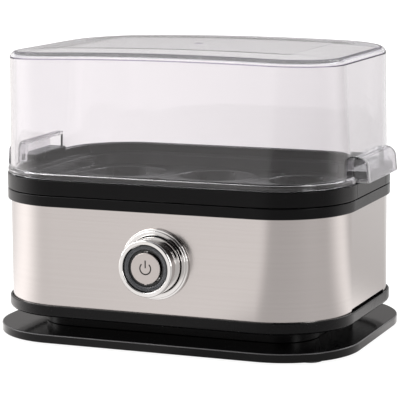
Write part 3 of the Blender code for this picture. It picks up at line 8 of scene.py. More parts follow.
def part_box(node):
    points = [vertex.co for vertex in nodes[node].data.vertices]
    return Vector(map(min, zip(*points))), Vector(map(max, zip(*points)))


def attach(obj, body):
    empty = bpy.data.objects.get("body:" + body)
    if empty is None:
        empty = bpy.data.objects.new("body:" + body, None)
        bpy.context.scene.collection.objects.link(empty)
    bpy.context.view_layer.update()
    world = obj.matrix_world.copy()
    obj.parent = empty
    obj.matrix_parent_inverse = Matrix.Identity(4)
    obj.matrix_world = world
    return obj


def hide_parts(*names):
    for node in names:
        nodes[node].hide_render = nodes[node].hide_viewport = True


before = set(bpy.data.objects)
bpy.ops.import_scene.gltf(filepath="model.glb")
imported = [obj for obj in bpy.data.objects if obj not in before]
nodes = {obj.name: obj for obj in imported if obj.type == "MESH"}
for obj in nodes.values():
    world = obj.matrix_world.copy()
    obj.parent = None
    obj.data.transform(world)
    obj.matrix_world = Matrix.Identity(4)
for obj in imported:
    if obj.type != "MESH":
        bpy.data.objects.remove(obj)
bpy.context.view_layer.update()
print("frame loaded:", len(nodes), "CAD nodes")

# The body's outline, which most pieces follow. Offsets count outwards from the steel wall's face.
body = {
    "halfLength": 0.085,
    "halfDepth": 0.0596,
    "cornerRadius": 0.035,
    "setBack": 0.0041,  # the outline's middle lies this far behind the world's
    "cornerSteps": 20,
    "gap": 0.0003,
    "overrun": 0.002,  # how far a cutter passes the wall it cuts
}
weld = {"turned": 1e-7, "piece": 2e-6, "sliver": 1e-6}  # points and slivers smaller than this are merged
arcShare = 0.45  # the most of a profile's side that one arc may take
cornerX = body["halfLength"] - body["cornerRadius"]
cornerY = body["halfDepth"] - body["cornerRadius"]


# profiles and outlines

def arcPoints(centre, start, end, steps):
    first = math.atan2(start[1] - centre[1], start[0] - centre[0])
    last = math.atan2(end[1] - centre[1], end[0] - centre[0])
    sweep = (last - first + math.pi) % math.tau - math.pi
    radius = math.dist(centre, start)
    angles = [first + sweep * step / steps for step in range(steps + 1)]
    return [(centre[0] + radius * math.cos(angle), centre[1] + radius * math.sin(angle)) for angle in angles]


def roundedProfile(corners, closed=True, steps=5):
    # corners are (across, up, radius); every corner with a radius becomes an arc
    points = []
    last = len(corners) - 1
    for index, (across, up, radius) in enumerate(corners):
        if radius == 0 or (not closed and index in (0, last)):
            points.append((across, up))
            continue
        corner = Vector((across, up))
        back = Vector(corners[index - 1][:2]) - corner
        ahead = Vector(corners[(index + 1) % len(corners)][:2]) - corner
        halfAngle = back.angle(ahead) / 2
        tangent = min(radius / math.tan(halfAngle), arcShare * min(back.length, ahead.length))
        start = corner + back.normalized() * tangent
        end = corner + ahead.normalized() * tangent
        middle = (back.normalized() + ahead.normalized()).normalized()
        points += arcPoints(corner + middle * (tangent / math.cos(halfAngle)), start, end, steps)
    return points


def outlineRing(offset, height, radius=None, grow=0.0, sideSteps=1, cornerSteps=None):
    # grow makes the whole outline larger, offset follows its edge
    radius = body["cornerRadius"] if radius is None else radius
    cornerSteps = cornerSteps or body["cornerSteps"]
    ring = []
    for quarter, (towardsX, towardsY) in enumerate(((1, 1), (-1, 1), (-1, -1), (1, -1))):
        centreX = towardsX * (body["halfLength"] + grow - radius)
        centreY = towardsY * (body["halfDepth"] + grow - radius) + body["setBack"]
        for step in range(cornerSteps + 1):
            angle = (quarter + step / cornerSteps) * math.pi / 2
            reach = radius + offset
            ring.append((centreX + reach * math.cos(angle), centreY + reach * math.sin(angle), height))
        if quarter in (0, 2):  # the long sides
            run, sideY = -2 * centreX, ring[-1][1]
            ring += [(centreX + run * step / sideSteps, sideY, height) for step in range(1, sideSteps)]
    return ring


# meshes

def skinRings(rings):
    # joins rings of equal length, and a ladder of quads closes each end
    mesh = bmesh.new()
    rows = [[mesh.verts.new(point) for point in ring] for ring in rings]
    count = len(rows[0])
    for lower, upper in zip(rows, rows[1:]):
        for index in range(count):
            after = (index + 1) % count
            mesh.faces.new((lower[index], lower[after], upper[after], upper[index]))
    for row in (rows[0], rows[-1]):
        for index in range(count // 2 - 1):
            mesh.faces.new((row[index], row[index + 1], row[count - 2 - index], row[count - 1 - index]))
    return mesh


def boxMesh(low, high):
    mesh = bmesh.new()
    bmesh.ops.create_cube(mesh, size=1.0)
    low, high = Vector(low), Vector(high)
    bmesh.ops.scale(mesh, vec=high - low, verts=mesh.verts)
    bmesh.ops.translate(mesh, vec=(low + high) / 2, verts=mesh.verts)
    return mesh


def extrudedProfile(profile, halfWidth, middle):
    # a closed profile of (x, z), swept along Y
    mesh = bmesh.new()
    near = [mesh.verts.new((x, middle - halfWidth, z)) for x, z in profile]
    far = [mesh.verts.new((x, middle + halfWidth, z)) for x, z in profile]
    mesh.faces.new(near)
    mesh.faces.new(far)
    for index in range(len(profile)):
        mesh.faces.new((near[index - 1], near[index], far[index], far[index - 1]))
    return mesh


def turnedMesh(profile, steps, place=None):
    # a profile of (radius, height) spun round Z
    mesh = bmesh.new()
    verts = [mesh.verts.new((radius, 0, height)) for radius, height in profile]
    edges = [mesh.edges.new(pair) for pair in zip(verts, verts[1:])]
    if profile[0][0] > 0:
        edges.append(mesh.edges.new((verts[-1], verts[0])))
    bmesh.ops.spin(
        mesh,
        geom=verts + edges,
        axis=(0, 0, 1),
        cent=(0, 0, 0),
        steps=steps,
        angle=math.tau,
        use_merge=True,
    )
    bmesh.ops.remove_doubles(mesh, verts=mesh.verts[:], dist=weld["turned"])
    if place is not None:
        bmesh.ops.transform(mesh, matrix=place, verts=mesh.verts)
    return mesh


def gathered(meshes):
    whole = bmesh.new()
    for part in meshes:
        bmesh.ops.recalc_face_normals(part, faces=part.faces[:])
        loose = bpy.data.meshes.new("loose")
        part.to_mesh(loose)
        part.free()
        whole.from_mesh(loose)
        bpy.data.meshes.remove(loose)
    return whole


def meshObject(name, shape):
    bmesh.ops.recalc_face_normals(shape, faces=shape.faces[:])
    mesh = bpy.data.meshes.new(name)
    shape.to_mesh(mesh)
    shape.free()
    made = bpy.data.objects.new(name, mesh)
    bpy.context.scene.collection.objects.link(made)
    return made


def lineObject(name, lines, closed=False):
    # loose edges along each line of points, for a node tree to sweep or to follow
    drawn = bmesh.new()
    for points in lines:
        verts = [drawn.verts.new(point) for point in points]
        for index in range(0 if closed else 1, len(verts)):
            drawn.edges.new((verts[index - 1], verts[index]))
    return meshObject(name, drawn)


def settle(obj):
    # turns what the modifiers make into a plain mesh
    bpy.context.view_layer.update()
    evaluated = obj.evaluated_get(bpy.context.evaluated_depsgraph_get())
    mesh = bpy.data.meshes.new_from_object(evaluated)
    obj.modifiers.clear()
    obj.data = mesh
    return obj


def carve(obj, tool, operation="DIFFERENCE"):
    modifier = obj.modifiers.new(tool.name, "BOOLEAN")
    modifier.operation = operation
    modifier.solver = "EXACT"
    modifier.use_hole_tolerant = True
    modifier.object = tool
    settle(obj)
    bpy.data.objects.remove(tool, do_unlink=True)
    return obj


def finishPiece(obj, bodyName, material, replaced=(), sharpAngle=32):
    # shades the piece, gives it its finish and puts it on its body
    mesh = bmesh.new()
    mesh.from_mesh(obj.data)
    bmesh.ops.remove_doubles(mesh, verts=mesh.verts[:], dist=weld["piece"])
    bmesh.ops.dissolve_degenerate(mesh, edges=mesh.edges[:], dist=weld["sliver"])
    bmesh.ops.recalc_face_normals(mesh, faces=mesh.faces[:])
    mesh.to_mesh(obj.data)
    mesh.free()
    obj.data.materials.clear()
    obj.data.materials.append(material)
    obj.data.polygons.foreach_set("material_index", [0] * len(obj.data.polygons))
    obj.data.shade_smooth()
    obj.data.set_sharp_from_angle(angle=math.radians(sharpAngle))
    weighted = obj.modifiers.new("weightedNormals", "WEIGHTED_NORMAL")
    weighted.keep_sharp = True
    weighted.weight = 100
    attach(obj, bodyName)
    if replaced:
        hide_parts(*replaced)
    print("piece:", obj.name, len(obj.data.polygons), "faces")
    return obj


# shader groups

def addNode(tree, kind, x=0, y=0, values=None, **settings):
    # values go to the node's sockets, by name or number, and settings to the node itself
    node = tree.nodes.new(kind)
    node.location = (x, y)
    for name, value in settings.items():
        setattr(node, name, value)
    for socket, value in (values or {}).items():
        node.inputs[socket].default_value = value
    return node


def wire(tree, *pairs):
    for source, target in pairs:
        tree.links.new(source, target)


def newGroup(name, inputs, outputs):
    tree = bpy.data.node_groups.new(name, "ShaderNodeTree")
    for label, kind, value in inputs:
        socket = tree.interface.new_socket(name=label, in_out="INPUT", socket_type=kind)
        if value is not None:
            socket.default_value = value
    for label, kind in outputs:
        tree.interface.new_socket(name=label, in_out="OUTPUT", socket_type=kind)
    return tree, addNode(tree, "NodeGroupInput", -900), addNode(tree, "NodeGroupOutput", 700)


def makeMouldedGrain():
    # the fine sparkle of a moulded surface, with broad soft patches
    tree, given, out = newGroup(
        "mouldedGrain",
        [
            ("Place", "NodeSocketVector", None),
            ("Grain Size", "NodeSocketFloat", 0.0006),
            ("Patch Size", "NodeSocketFloat", 0.03),
        ],
        [("Height", "NodeSocketFloat"), ("Patch", "NodeSocketFloat")],
    )
    for row, (size, detail, label) in enumerate((("Grain Size", 3, "Height"), ("Patch Size", 2, "Patch"))):
        density = addNode(tree, "ShaderNodeMath", -650, -300 * row, {0: 1.0}, operation="DIVIDE")
        noise = addNode(tree, "ShaderNodeTexNoise", -400, -300 * row, {"Detail": detail})
        wire(
            tree,
            (given.outputs[size], density.inputs[1]),
            (density.outputs[0], noise.inputs["Scale"]),
            (given.outputs["Place"], noise.inputs["Vector"]),
            (noise.outputs["Fac"], out.inputs[label]),
        )
    return tree


def makeBrushedLines():
    # long fine lines that run level round the piece
    tree, given, out = newGroup(
        "brushedLines",
        [
            ("Place", "NodeSocketVector", None),
            ("Line Height", "NodeSocketFloat", 0.00025),
            ("Line Length", "NodeSocketFloat", 0.03),
        ],
        [("Height", "NodeSocketFloat"), ("Streak", "NodeSocketFloat")],
    )
    lengthwise = addNode(tree, "ShaderNodeMath", -700, 100, {0: 1.0}, operation="DIVIDE")
    upwards = addNode(tree, "ShaderNodeMath", -700, -100, {0: 1.0}, operation="DIVIDE")
    stretch = addNode(tree, "ShaderNodeCombineXYZ", -500)
    scaled = addNode(tree, "ShaderNodeVectorMath", -300, operation="MULTIPLY")
    fine = addNode(tree, "ShaderNodeTexNoise", -80, 150, {"Scale": 1.0, "Detail": 4.0})
    broad = addNode(tree, "ShaderNodeTexNoise", -80, -150, {"Scale": 0.18, "Detail": 2.0})
    wire(
        tree,
        (given.outputs["Line Length"], lengthwise.inputs[1]),
        (given.outputs["Line Height"], upwards.inputs[1]),
        (lengthwise.outputs[0], stretch.inputs["X"]),
        (lengthwise.outputs[0], stretch.inputs["Y"]),
        (upwards.outputs[0], stretch.inputs["Z"]),
        (given.outputs["Place"], scaled.inputs[0]),
        (stretch.outputs[0], scaled.inputs[1]),
        (scaled.outputs[0], fine.inputs["Vector"]),
        (scaled.outputs[0], broad.inputs["Vector"]),
        (fine.outputs["Fac"], out.inputs["Height"]),
        (broad.outputs["Fac"], out.inputs["Streak"]),
    )
    return tree


def makeTurnedLines():
    # fine circles round the Y axis through a centre, as a lathe leaves them
    tree, given, out = newGroup(
        "turnedLines",
        [
            ("Place", "NodeSocketVector", None),
            ("Centre", "NodeSocketVector", (0.0, 0.0, 0.0)),
            ("Pitch", "NodeSocketFloat", 0.0002),
        ],
        [("Height", "NodeSocketFloat"), ("Radius", "NodeSocketFloat")],
    )
    away = addNode(tree, "ShaderNodeVectorMath", -650, operation="SUBTRACT")
    flat = addNode(tree, "ShaderNodeVectorMath", -480, 0, {1: (1.0, 0.0, 1.0)}, operation="MULTIPLY")
    radius = addNode(tree, "ShaderNodeVectorMath", -310, operation="LENGTH")
    count = addNode(tree, "ShaderNodeMath", -140, operation="DIVIDE")
    noise = addNode(tree, "ShaderNodeTexNoise", 60, 0, {"Scale": 1.0, "Detail": 2.0}, noise_dimensions="1D")
    wire(
        tree,
        (given.outputs["Place"], away.inputs[0]),
        (given.outputs["Centre"], away.inputs[1]),
        (away.outputs[0], flat.inputs[0]),
        (flat.outputs[0], radius.inputs[0]),
        (radius.outputs["Value"], count.inputs[0]),
        (given.outputs["Pitch"], count.inputs[1]),
        (count.outputs[0], noise.inputs["W"]),
        (noise.outputs["Fac"], out.inputs["Height"]),
        (radius.outputs["Value"], out.inputs["Radius"]),
    )
    return tree


def makeHandling():
    # wiped and handled places: soft streaky marks between zero and one
    tree, given, out = newGroup(
        "handlingMarks",
        [
            ("Place", "NodeSocketVector", None),
            ("Size", "NodeSocketFloat", 0.02),
            ("Cover", "NodeSocketFloat", 0.5),
        ],
        [("Mask", "NodeSocketFloat")],
    )
    density = addNode(tree, "ShaderNodeMath", -650, 0, {0: 1.0}, operation="DIVIDE")
    noise = addNode(tree, "ShaderNodeTexNoise", -400, 0, {"Detail": 5.0, "Distortion": 0.8})
    least = addNode(tree, "ShaderNodeMath", -400, -300, {0: 1.0}, operation="SUBTRACT")
    spread = addNode(tree, "ShaderNodeMapRange", -100, 0, {"From Max": 0.85}, interpolation_type="SMOOTHSTEP")
    wire(
        tree,
        (given.outputs["Size"], density.inputs[1]),
        (density.outputs[0], noise.inputs["Scale"]),
        (given.outputs["Place"], noise.inputs["Vector"]),
        (given.outputs["Cover"], least.inputs[1]),
        (noise.outputs["Fac"], spread.inputs["Value"]),
        (least.outputs[0], spread.inputs["From Min"]),
        (spread.outputs[0], out.inputs["Mask"]),
    )
    return tree


grainGroup = makeMouldedGrain()
brushGroup = makeBrushedLines()
turnedGroup = makeTurnedLines()
handlingGroup = makeHandling()
print("shader groups made")


# finishes

plasticIndex = 1.44
hazeShare = 0.985  # how bright the clear plastic's duller patches are beside the rest


def startMaterial(name, look):
    # look holds plain values for the shader's own sockets
    material = bpy.data.materials.new(name)
    material.use_nodes = True
    tree = material.node_tree
    shader = tree.nodes["Principled BSDF"]
    for socket, value in look.items():
        shader.inputs[socket].default_value = value
    place = addNode(tree, "ShaderNodeTexCoord", -1100)
    return material, tree, shader, place.outputs["Object"]


def useGroup(tree, group, place, values, x=-850, y=0):
    node = addNode(tree, "ShaderNodeGroup", x, y, values, node_tree=group)
    wire(tree, (place, node.inputs["Place"]))
    return node


def varied(tree, source, low, high, x=-400, y=0):
    # maps a mask from zero to one onto a range
    spread = addNode(tree, "ShaderNodeMapRange", x, y, {"To Min": low, "To Max": high})
    wire(tree, (source, spread.inputs["Value"]))
    return spread.outputs[0]


def blended(tree, source, first, second, x=-400, y=0):
    # one colour where the mask is zero, another where it is one
    colours = {"A": (*first, 1.0), "B": (*second, 1.0)}
    mix = addNode(tree, "ShaderNodeMix", x, y, colours, data_type="RGBA")
    wire(tree, (source, mix.inputs["Factor"]))
    return mix.outputs["Result"]


def bump(tree, shader, source, distance):
    node = addNode(tree, "ShaderNodeBump", -250, -500, {"Strength": 1.0, "Distance": distance})
    wire(tree, (source, node.inputs["Height"]), (node.outputs["Normal"], shader.inputs["Normal"]))


def fillRamp(ramp, stops):
    # stops are (share of the way, colour)
    elements = ramp.color_ramp.elements
    for index, (share, colour) in enumerate(stops):
        stop = elements[0] if index == 0 else elements.new(share)
        stop.position = share
        stop.color = (*colour, 1.0)
    elements.remove(elements[-1])  # the ramp's own last stop


def wear(tree, shader, place, roughness, size, markShare=0.5):
    # the roughness wanders between two values, as hands and cloths leave it
    marks = useGroup(tree, handlingGroup, place, {"Size": size, "Cover": markShare}, y=-300)
    rough = varied(tree, marks.outputs["Mask"], *roughness, y=-250)
    wire(tree, (rough, shader.inputs["Roughness"]))


def plasticFinish(name, colour, other, roughness, grain, depth, sheen):
    # moulded plastic: two close colours in soft patches, a handled sheen and a fine grain
    look = {"IOR": plasticIndex, "Specular Tint": (sheen, sheen, sheen, 1.0)}
    material, tree, shader, place = startMaterial(name, look)
    texture = useGroup(tree, grainGroup, place, {"Grain Size": grain, "Patch Size": 0.035})
    painted = blended(tree, texture.outputs["Patch"], colour, other)
    wire(tree, (painted, shader.inputs["Base Color"]))
    wear(tree, shader, place, roughness, size=0.018, markShare=0.55)
    bump(tree, shader, texture.outputs["Height"], depth)
    return material


def metalFinish(name, colour, other, roughness, line, length, depth):
    # brushed or rolled metal with level lines
    material, tree, shader, place = startMaterial(name, {"Metallic": 1.0})
    lines = useGroup(tree, brushGroup, place, {"Line Height": line, "Line Length": length})
    painted = blended(tree, lines.outputs["Streak"], colour, other)
    wire(tree, (painted, shader.inputs["Base Color"]))
    wear(tree, shader, place, roughness, size=0.03)
    bump(tree, shader, lines.outputs["Height"], depth)
    return material


def clearFinish(name, tint, roughness, index, through):
    # clear plastic with hardly seen duller patches
    material, tree, shader, place = startMaterial(name, {"Transmission Weight": through, "IOR": index})
    cloud = useGroup(tree, grainGroup, place, {"Grain Size": 0.004, "Patch Size": 0.05})
    haze = tuple(hazeShare * channel for channel in tint)
    wire(tree, (blended(tree, cloud.outputs["Patch"], tint, haze), shader.inputs["Base Color"]))
    wear(tree, shader, place, roughness, size=0.025)
    return material


plastics = {  # two colours, roughness, grain size, grain depth, sheen seen face on
    "black": ((0.0035, 0.0035, 0.0038), (0.005, 0.005, 0.0054), (0.22, 0.30), 0.0005, 0.000006, 0.28),
    "blackMoulded": ((0.0035, 0.0035, 0.0038), (0.0055, 0.0055, 0.006), (0.26, 0.36), 0.0007, 0.000015, 0.40),
    "blackSmooth": ((0.0035, 0.0035, 0.0038), (0.005, 0.005, 0.0054), (0.10, 0.15), 0.0005, 0.000004, 0.50),
    # a lighter black for the foot plate's upper rim: a painted highlight along its edge
    "blackPaintedHighlight": ((0.090, 0.089, 0.092), (0.105, 0.104, 0.107), (0.25, 0.32), 0.0005, 0.000004, 1.0),
    "rubber": ((0.010, 0.010, 0.010), (0.016, 0.016, 0.016), (0.6, 0.8), 0.0009, 0.00004, 1.0),
    "seal": ((0.50, 0.48, 0.45), (0.56, 0.54, 0.51), (0.5, 0.6), 0.0009, 0.00002, 1.0),
    "phenolic": ((0.028, 0.017, 0.011), (0.036, 0.022, 0.015), (0.45, 0.55), 0.0006, 0.00001, 1.0),
    "nylon": ((0.68, 0.67, 0.64), (0.74, 0.73, 0.70), (0.4, 0.5), 0.0006, 0.00001, 1.0),
    "board": ((0.016, 0.105, 0.045), (0.025, 0.14, 0.06), (0.35, 0.45), 0.0005, 0.00001, 1.0),
    "leadWhite": ((0.58, 0.57, 0.54), (0.66, 0.65, 0.62), (0.4, 0.5), 0.0008, 0.00001, 1.0),
    "leadBrown": ((0.12, 0.05, 0.025), (0.16, 0.07, 0.035), (0.4, 0.5), 0.0008, 0.00001, 1.0),
    "leadBlue": ((0.025, 0.08, 0.27), (0.035, 0.10, 0.33), (0.4, 0.5), 0.0008, 0.00001, 1.0),
    "print": ((0.012, 0.010, 0.009), (0.018, 0.015, 0.014), (0.4, 0.5), 0.0004, 0.000002, 1.0),
}
metals = {  # two colours, roughness, line height, line length, line depth
    "steel": ((0.60, 0.565, 0.550), (0.635, 0.60, 0.585), (0.17, 0.21), 0.00016, 0.05, 0.0000010),
    "pan": ((0.50, 0.495, 0.49), (0.58, 0.575, 0.57), (0.18, 0.3), 0.0003, 0.02, 0.000002),
    "zinc": ((0.42, 0.42, 0.41), (0.50, 0.50, 0.48), (0.3, 0.42), 0.0003, 0.002, 0.000003),
    "sheath": ((0.13, 0.12, 0.11), (0.20, 0.18, 0.16), (0.4, 0.55), 0.0008, 0.004, 0.000006),
}
clears = {  # tint, roughness, index, share of the light that goes through
    "clear": ((0.895, 0.885, 0.905), (0.015, 0.04), 1.5, 1.0),
    # a lighter, partly milky copy of the clear plastic for the hoods: painted light
    "hoodClearPaintedLight": ((0.92, 0.90, 0.935), (0.02, 0.05), 1.42, 0.82),
    # a paler copy with a low index for the cover's top and the hoods' ends: painted light that makes them
    # lighter
    "topClearPaintedLight": ((0.96, 0.955, 0.97), (0.02, 0.05), 1.12, 0.90),
    # a dark violet copy for the two lines along the shoulder: painted shade
    "lineClearPaintedShade": ((0.42, 0.39, 0.48), (0.04, 0.08), 1.08, 0.90),
    # a pale, mostly milky copy for the hoods' rounded edges: painted highlight
    "edgeClearPaintedHighlight": ((0.93, 0.925, 0.94), (0.15, 0.25), 1.45, 0.35),
}
finishes = {name: plasticFinish(name, *values) for name, values in plastics.items()}
finishes.update({name: metalFinish(name, *values) for name, values in metals.items()})
finishes.update({name: clearFinish(name, *values) for name, values in clears.items()})
print("finishes made:", len(finishes))


# camera

camera = {
    "azimuth": 22.177,
    "elevation": 9.246,
    "roll": -0.3976,
    "distance": 0.95266,
    "lookAt": (0.0, 0.0041, 0.0623),
    "focalPixels": 1969.33,
    "imagePixels": 400,
    "sensor": 36.0,
    "clip": (0.01, 50),  # nearest and farthest distance that it sees
}


def makeCamera():
    azimuth, elevation, roll = (math.radians(camera[key]) for key in ("azimuth", "elevation", "roll"))
    level = math.cos(elevation)
    back = Vector((math.sin(azimuth) * level, -math.cos(azimuth) * level, math.sin(elevation)))
    right = Vector((math.cos(azimuth), math.sin(azimuth), 0))
    up = back.cross(right)
    turnedRight = math.cos(roll) * right + math.sin(roll) * up
    turnedUp = math.cos(roll) * up - math.sin(roll) * right
    lens = bpy.data.cameras.new("photoCamera")
    lens.sensor_width = camera["sensor"]
    lens.lens = camera["focalPixels"] * camera["sensor"] / camera["imagePixels"]
    lens.clip_start, lens.clip_end = camera["clip"]
    made = bpy.data.objects.new("photoCamera", lens)
    bpy.context.scene.collection.objects.link(made)
    turn = Matrix((turnedRight, turnedUp, back)).transposed().to_4x4()
    made.matrix_world = Matrix.Translation(Vector(camera["lookAt"]) + back * camera["distance"]) @ turn
    bpy.context.scene.camera = made


makeCamera()
bpy.context.scene.view_settings.view_transform = "Standard"
print("camera made")


# studio

studio = {
    "floorRadius": 6.0,
    "floorSides": 96,
    "floorColour": (0.92, 0.92, 0.92),
    "shadowReach": (0.10, 0.55),  # the floor turns plain white between these distances
    "shadowShare": 0.70,  # how much of the floor is its own white under the object
    "floorWhite": 1.35,  # lifts that white so that only the shadow shows
    "backLevels": (  # brightness of the room at each angle from the front, round by the right
        (-180, 0.4),
        (-160, 0.4),
        (-120, 1.1),
        (0, 0.8),
        (60, 0.7),
        (120, 0.9),
        (180, 0.4),
    ),
    "floorLevels": (  # the same for the floor: a strip on the left, a dark panel, a strip on the right
        (-180, 0.8),
        (-150, 1.2),
        (-120, 1.0),
        (-77, 1.6),
        (-45, 0.9),
        (0, 1.0),
        (15, 0.6),
        (85, 0.65),
        (115, 1.2),
        (140, 0.7),
        (180, 0.8),
    ),
    "levelTint": (1.0, 0.97, 0.96),  # multiplies the brightness of both
    "ceilingFrom": (0.30, 0.65),  # heights between which the walls give way to the ceiling
    "ceilingColour": (0.42, 0.42, 0.43),
    "darkColour": (0.012, 0.010, 0.010),  # a dark flag high on the right
    "darkWay": (0.42, -0.68, 0.60),
    "darkSpread": (0.80, 0.88),  # it fades in between these cosines of the angle to its middle
    "light": 1.0,
    "lampAim": (0, 0, 0.06),
}
lamps = [  # name, place, size, power, colour
    ("keyLamp", (-1.1, -1.0, 1.25), (0.9, 0.9), 12.0, (1.0, 0.985, 0.97)),
    ("leftStrip", (-1.3, -0.25, 0.60), (0.5, 0.9), 5.0, (1.0, 1.0, 1.0)),
    ("rightStrip", (1.25, -0.55, 0.5), (0.4, 0.9), 4.0, (1.0, 1.0, 1.0)),
    ("backLamp", (0.3, 1.4, 1.2), (1.2, 0.5), 6.0, (1.0, 1.0, 1.0)),
]


def levelsAround(tree, source, levels, x=-900, y=300):
    # the colour that the levels give for the angle at which source lies, seen from above, and its height
    parts = addNode(tree, "ShaderNodeSeparateXYZ", x, y)
    back = addNode(tree, "ShaderNodeMath", x + 150, y - 100, {1: -1.0}, operation="MULTIPLY")
    around = addNode(tree, "ShaderNodeMath", x + 300, y, operation="ARCTAN2")
    turn = addNode(tree, "ShaderNodeMapRange", x + 450, y, {"From Min": -math.pi, "From Max": math.pi})
    ramp = addNode(tree, "ShaderNodeValToRGB", x + 600, y)
    ramp.color_ramp.interpolation = "EASE"
    tinted = []
    for degrees, level in levels:
        tinted.append(((degrees + 180) / 360, [level * channel for channel in studio["levelTint"]]))
    fillRamp(ramp, tinted)
    wire(
        tree,
        (source, parts.inputs[0]),
        (parts.outputs["X"], around.inputs[0]),
        (parts.outputs["Y"], back.inputs[0]),
        (back.outputs[0], around.inputs[1]),
        (around.outputs[0], turn.inputs["Value"]),
        (turn.outputs[0], ramp.inputs["Fac"]),
    )
    return ramp.outputs["Color"], parts.outputs["Z"]


def makeFloor():
    disc = bmesh.new()
    bmesh.ops.create_circle(disc, cap_ends=True, segments=studio["floorSides"], radius=studio["floorRadius"])
    floor = meshObject("studioFloor", disc)
    look = {"Base Color": (*studio["floorColour"], 1.0), "Roughness": 0.9, "Specular IOR Level": 0.0}
    material, tree, shader, place = startMaterial("paleFloor", look)
    white = addNode(tree, "ShaderNodeEmission", 0, -300, {"Strength": studio["floorWhite"]})
    path = addNode(tree, "ShaderNodeLightPath", -400, 400)
    away = addNode(tree, "ShaderNodeVectorMath", -700, operation="LENGTH")
    near, far = studio["shadowReach"]
    ends = {"From Min": near, "From Max": far, "To Min": studio["shadowShare"]}
    fade = addNode(tree, "ShaderNodeMapRange", -500, 0, ends, interpolation_type="SMOOTHSTEP")
    straight = addNode(tree, "ShaderNodeMath", -200, 400, operation="MAXIMUM")
    seen = addNode(tree, "ShaderNodeMath", -200, 200, operation="MULTIPLY")
    mix = addNode(tree, "ShaderNodeMixShader", 200)
    levels = levelsAround(tree, place, studio["floorLevels"], y=700)[0]
    shown = addNode(tree, "ShaderNodeEmission", 0, 500)
    glossy = addNode(tree, "ShaderNodeMixShader", 400)
    out = tree.nodes["Material Output"]
    wire(
        tree,
        (place, away.inputs[0]),
        (away.outputs["Value"], fade.inputs["Value"]),
        (path.outputs["Is Camera Ray"], straight.inputs[0]),
        (path.outputs["Is Transmission Ray"], straight.inputs[1]),
        (fade.outputs[0], seen.inputs[0]),
        (straight.outputs[0], seen.inputs[1]),
        (seen.outputs[0], mix.inputs["Fac"]),
        (shader.outputs[0], mix.inputs[1]),
        (white.outputs[0], mix.inputs[2]),
        (levels, shown.inputs["Color"]),
        (path.outputs["Is Glossy Ray"], glossy.inputs["Fac"]),
        (mix.outputs[0], glossy.inputs[1]),
        (shown.outputs[0], glossy.inputs[2]),
        (glossy.outputs[0], out.inputs["Surface"]),
    )
    floor.data.materials.append(material)


def makeWorld():
    world = bpy.data.worlds.new("studioWorld")
    bpy.context.scene.world = world
    world.use_nodes = True
    tree = world.node_tree
    plain = tree.nodes["Background"]
    out = tree.nodes["World Output"]
    plain.inputs["Strength"].default_value = studio["light"]
    seen = addNode(tree, "ShaderNodeBackground", 0, -200, {"Color": (1.0, 1.0, 1.0, 1.0)})
    path = addNode(tree, "ShaderNodeLightPath", 0, 300)
    straight = addNode(tree, "ShaderNodeMath", 150, 300, operation="MAXIMUM")
    mix = addNode(tree, "ShaderNodeMixShader", 300)
    way = addNode(tree, "ShaderNodeTexCoord", -1300)
    walls, height = levelsAround(tree, way.outputs["Generated"], studio["backLevels"])
    ends = dict(zip(("From Min", "From Max"), studio["ceilingFrom"]))
    heights = addNode(tree, "ShaderNodeMapRange", -700, 0, ends, interpolation_type="SMOOTHSTEP")
    ceiling = {"B": (*studio["ceilingColour"], 1.0)}
    sky = addNode(tree, "ShaderNodeMix", -300, 100, ceiling, data_type="RGBA")
    towardsDark = {1: Vector(studio["darkWay"]).normalized()}
    towards = addNode(tree, "ShaderNodeVectorMath", -900, -200, towardsDark, operation="DOT_PRODUCT")
    ends = dict(zip(("From Min", "From Max"), studio["darkSpread"]))
    flag = addNode(tree, "ShaderNodeMapRange", -700, -250, ends, interpolation_type="SMOOTHSTEP")
    dark = {"B": (*studio["darkColour"], 1.0)}
    shaded = addNode(tree, "ShaderNodeMix", -120, 0, dark, data_type="RGBA")
    wire(
        tree,
        (height, heights.inputs["Value"]),
        (heights.outputs[0], sky.inputs["Factor"]),
        (walls, sky.inputs["A"]),
        (way.outputs["Generated"], towards.inputs[0]),
        (towards.outputs["Value"], flag.inputs["Value"]),
        (flag.outputs[0], shaded.inputs["Factor"]),
        (sky.outputs["Result"], shaded.inputs["A"]),
        (shaded.outputs["Result"], plain.inputs["Color"]),
        (path.outputs["Is Camera Ray"], straight.inputs[0]),
        (path.outputs["Is Transmission Ray"], straight.inputs[1]),
        (straight.outputs[0], mix.inputs["Fac"]),
        (plain.outputs[0], mix.inputs[1]),
        (seen.outputs[0], mix.inputs[2]),
        (mix.outputs[0], out.inputs["Surface"]),
    )


def makeLamps():
    target = Vector(studio["lampAim"])
    for name, place, size, power, colour in lamps:
        lamp = bpy.data.lights.new(name, "AREA")
        lamp.shape = "RECTANGLE"
        lamp.size, lamp.size_y = size
        lamp.energy = power
        lamp.color = colour
        made = bpy.data.objects.new(name, lamp)
        bpy.context.scene.collection.objects.link(made)
        made.location = place
        made.rotation_euler = (target - Vector(place)).to_track_quat("-Z", "Y").to_euler()


makeFloor()
makeWorld()
makeLamps()
print("studio made")


# geometry nodes

def newGeometryTree(name, inputs):
    tree = bpy.data.node_groups.new(name, "GeometryNodeTree")
    tree.interface.new_socket(name="Shape", in_out="INPUT", socket_type="NodeSocketGeometry")
    for label, kind in inputs:
        tree.interface.new_socket(name=label, in_out="INPUT", socket_type=kind)
    tree.interface.new_socket(name="Piece", in_out="OUTPUT", socket_type="NodeSocketGeometry")
    return tree, addNode(tree, "NodeGroupInput", -1200), addNode(tree, "NodeGroupOutput", 900)


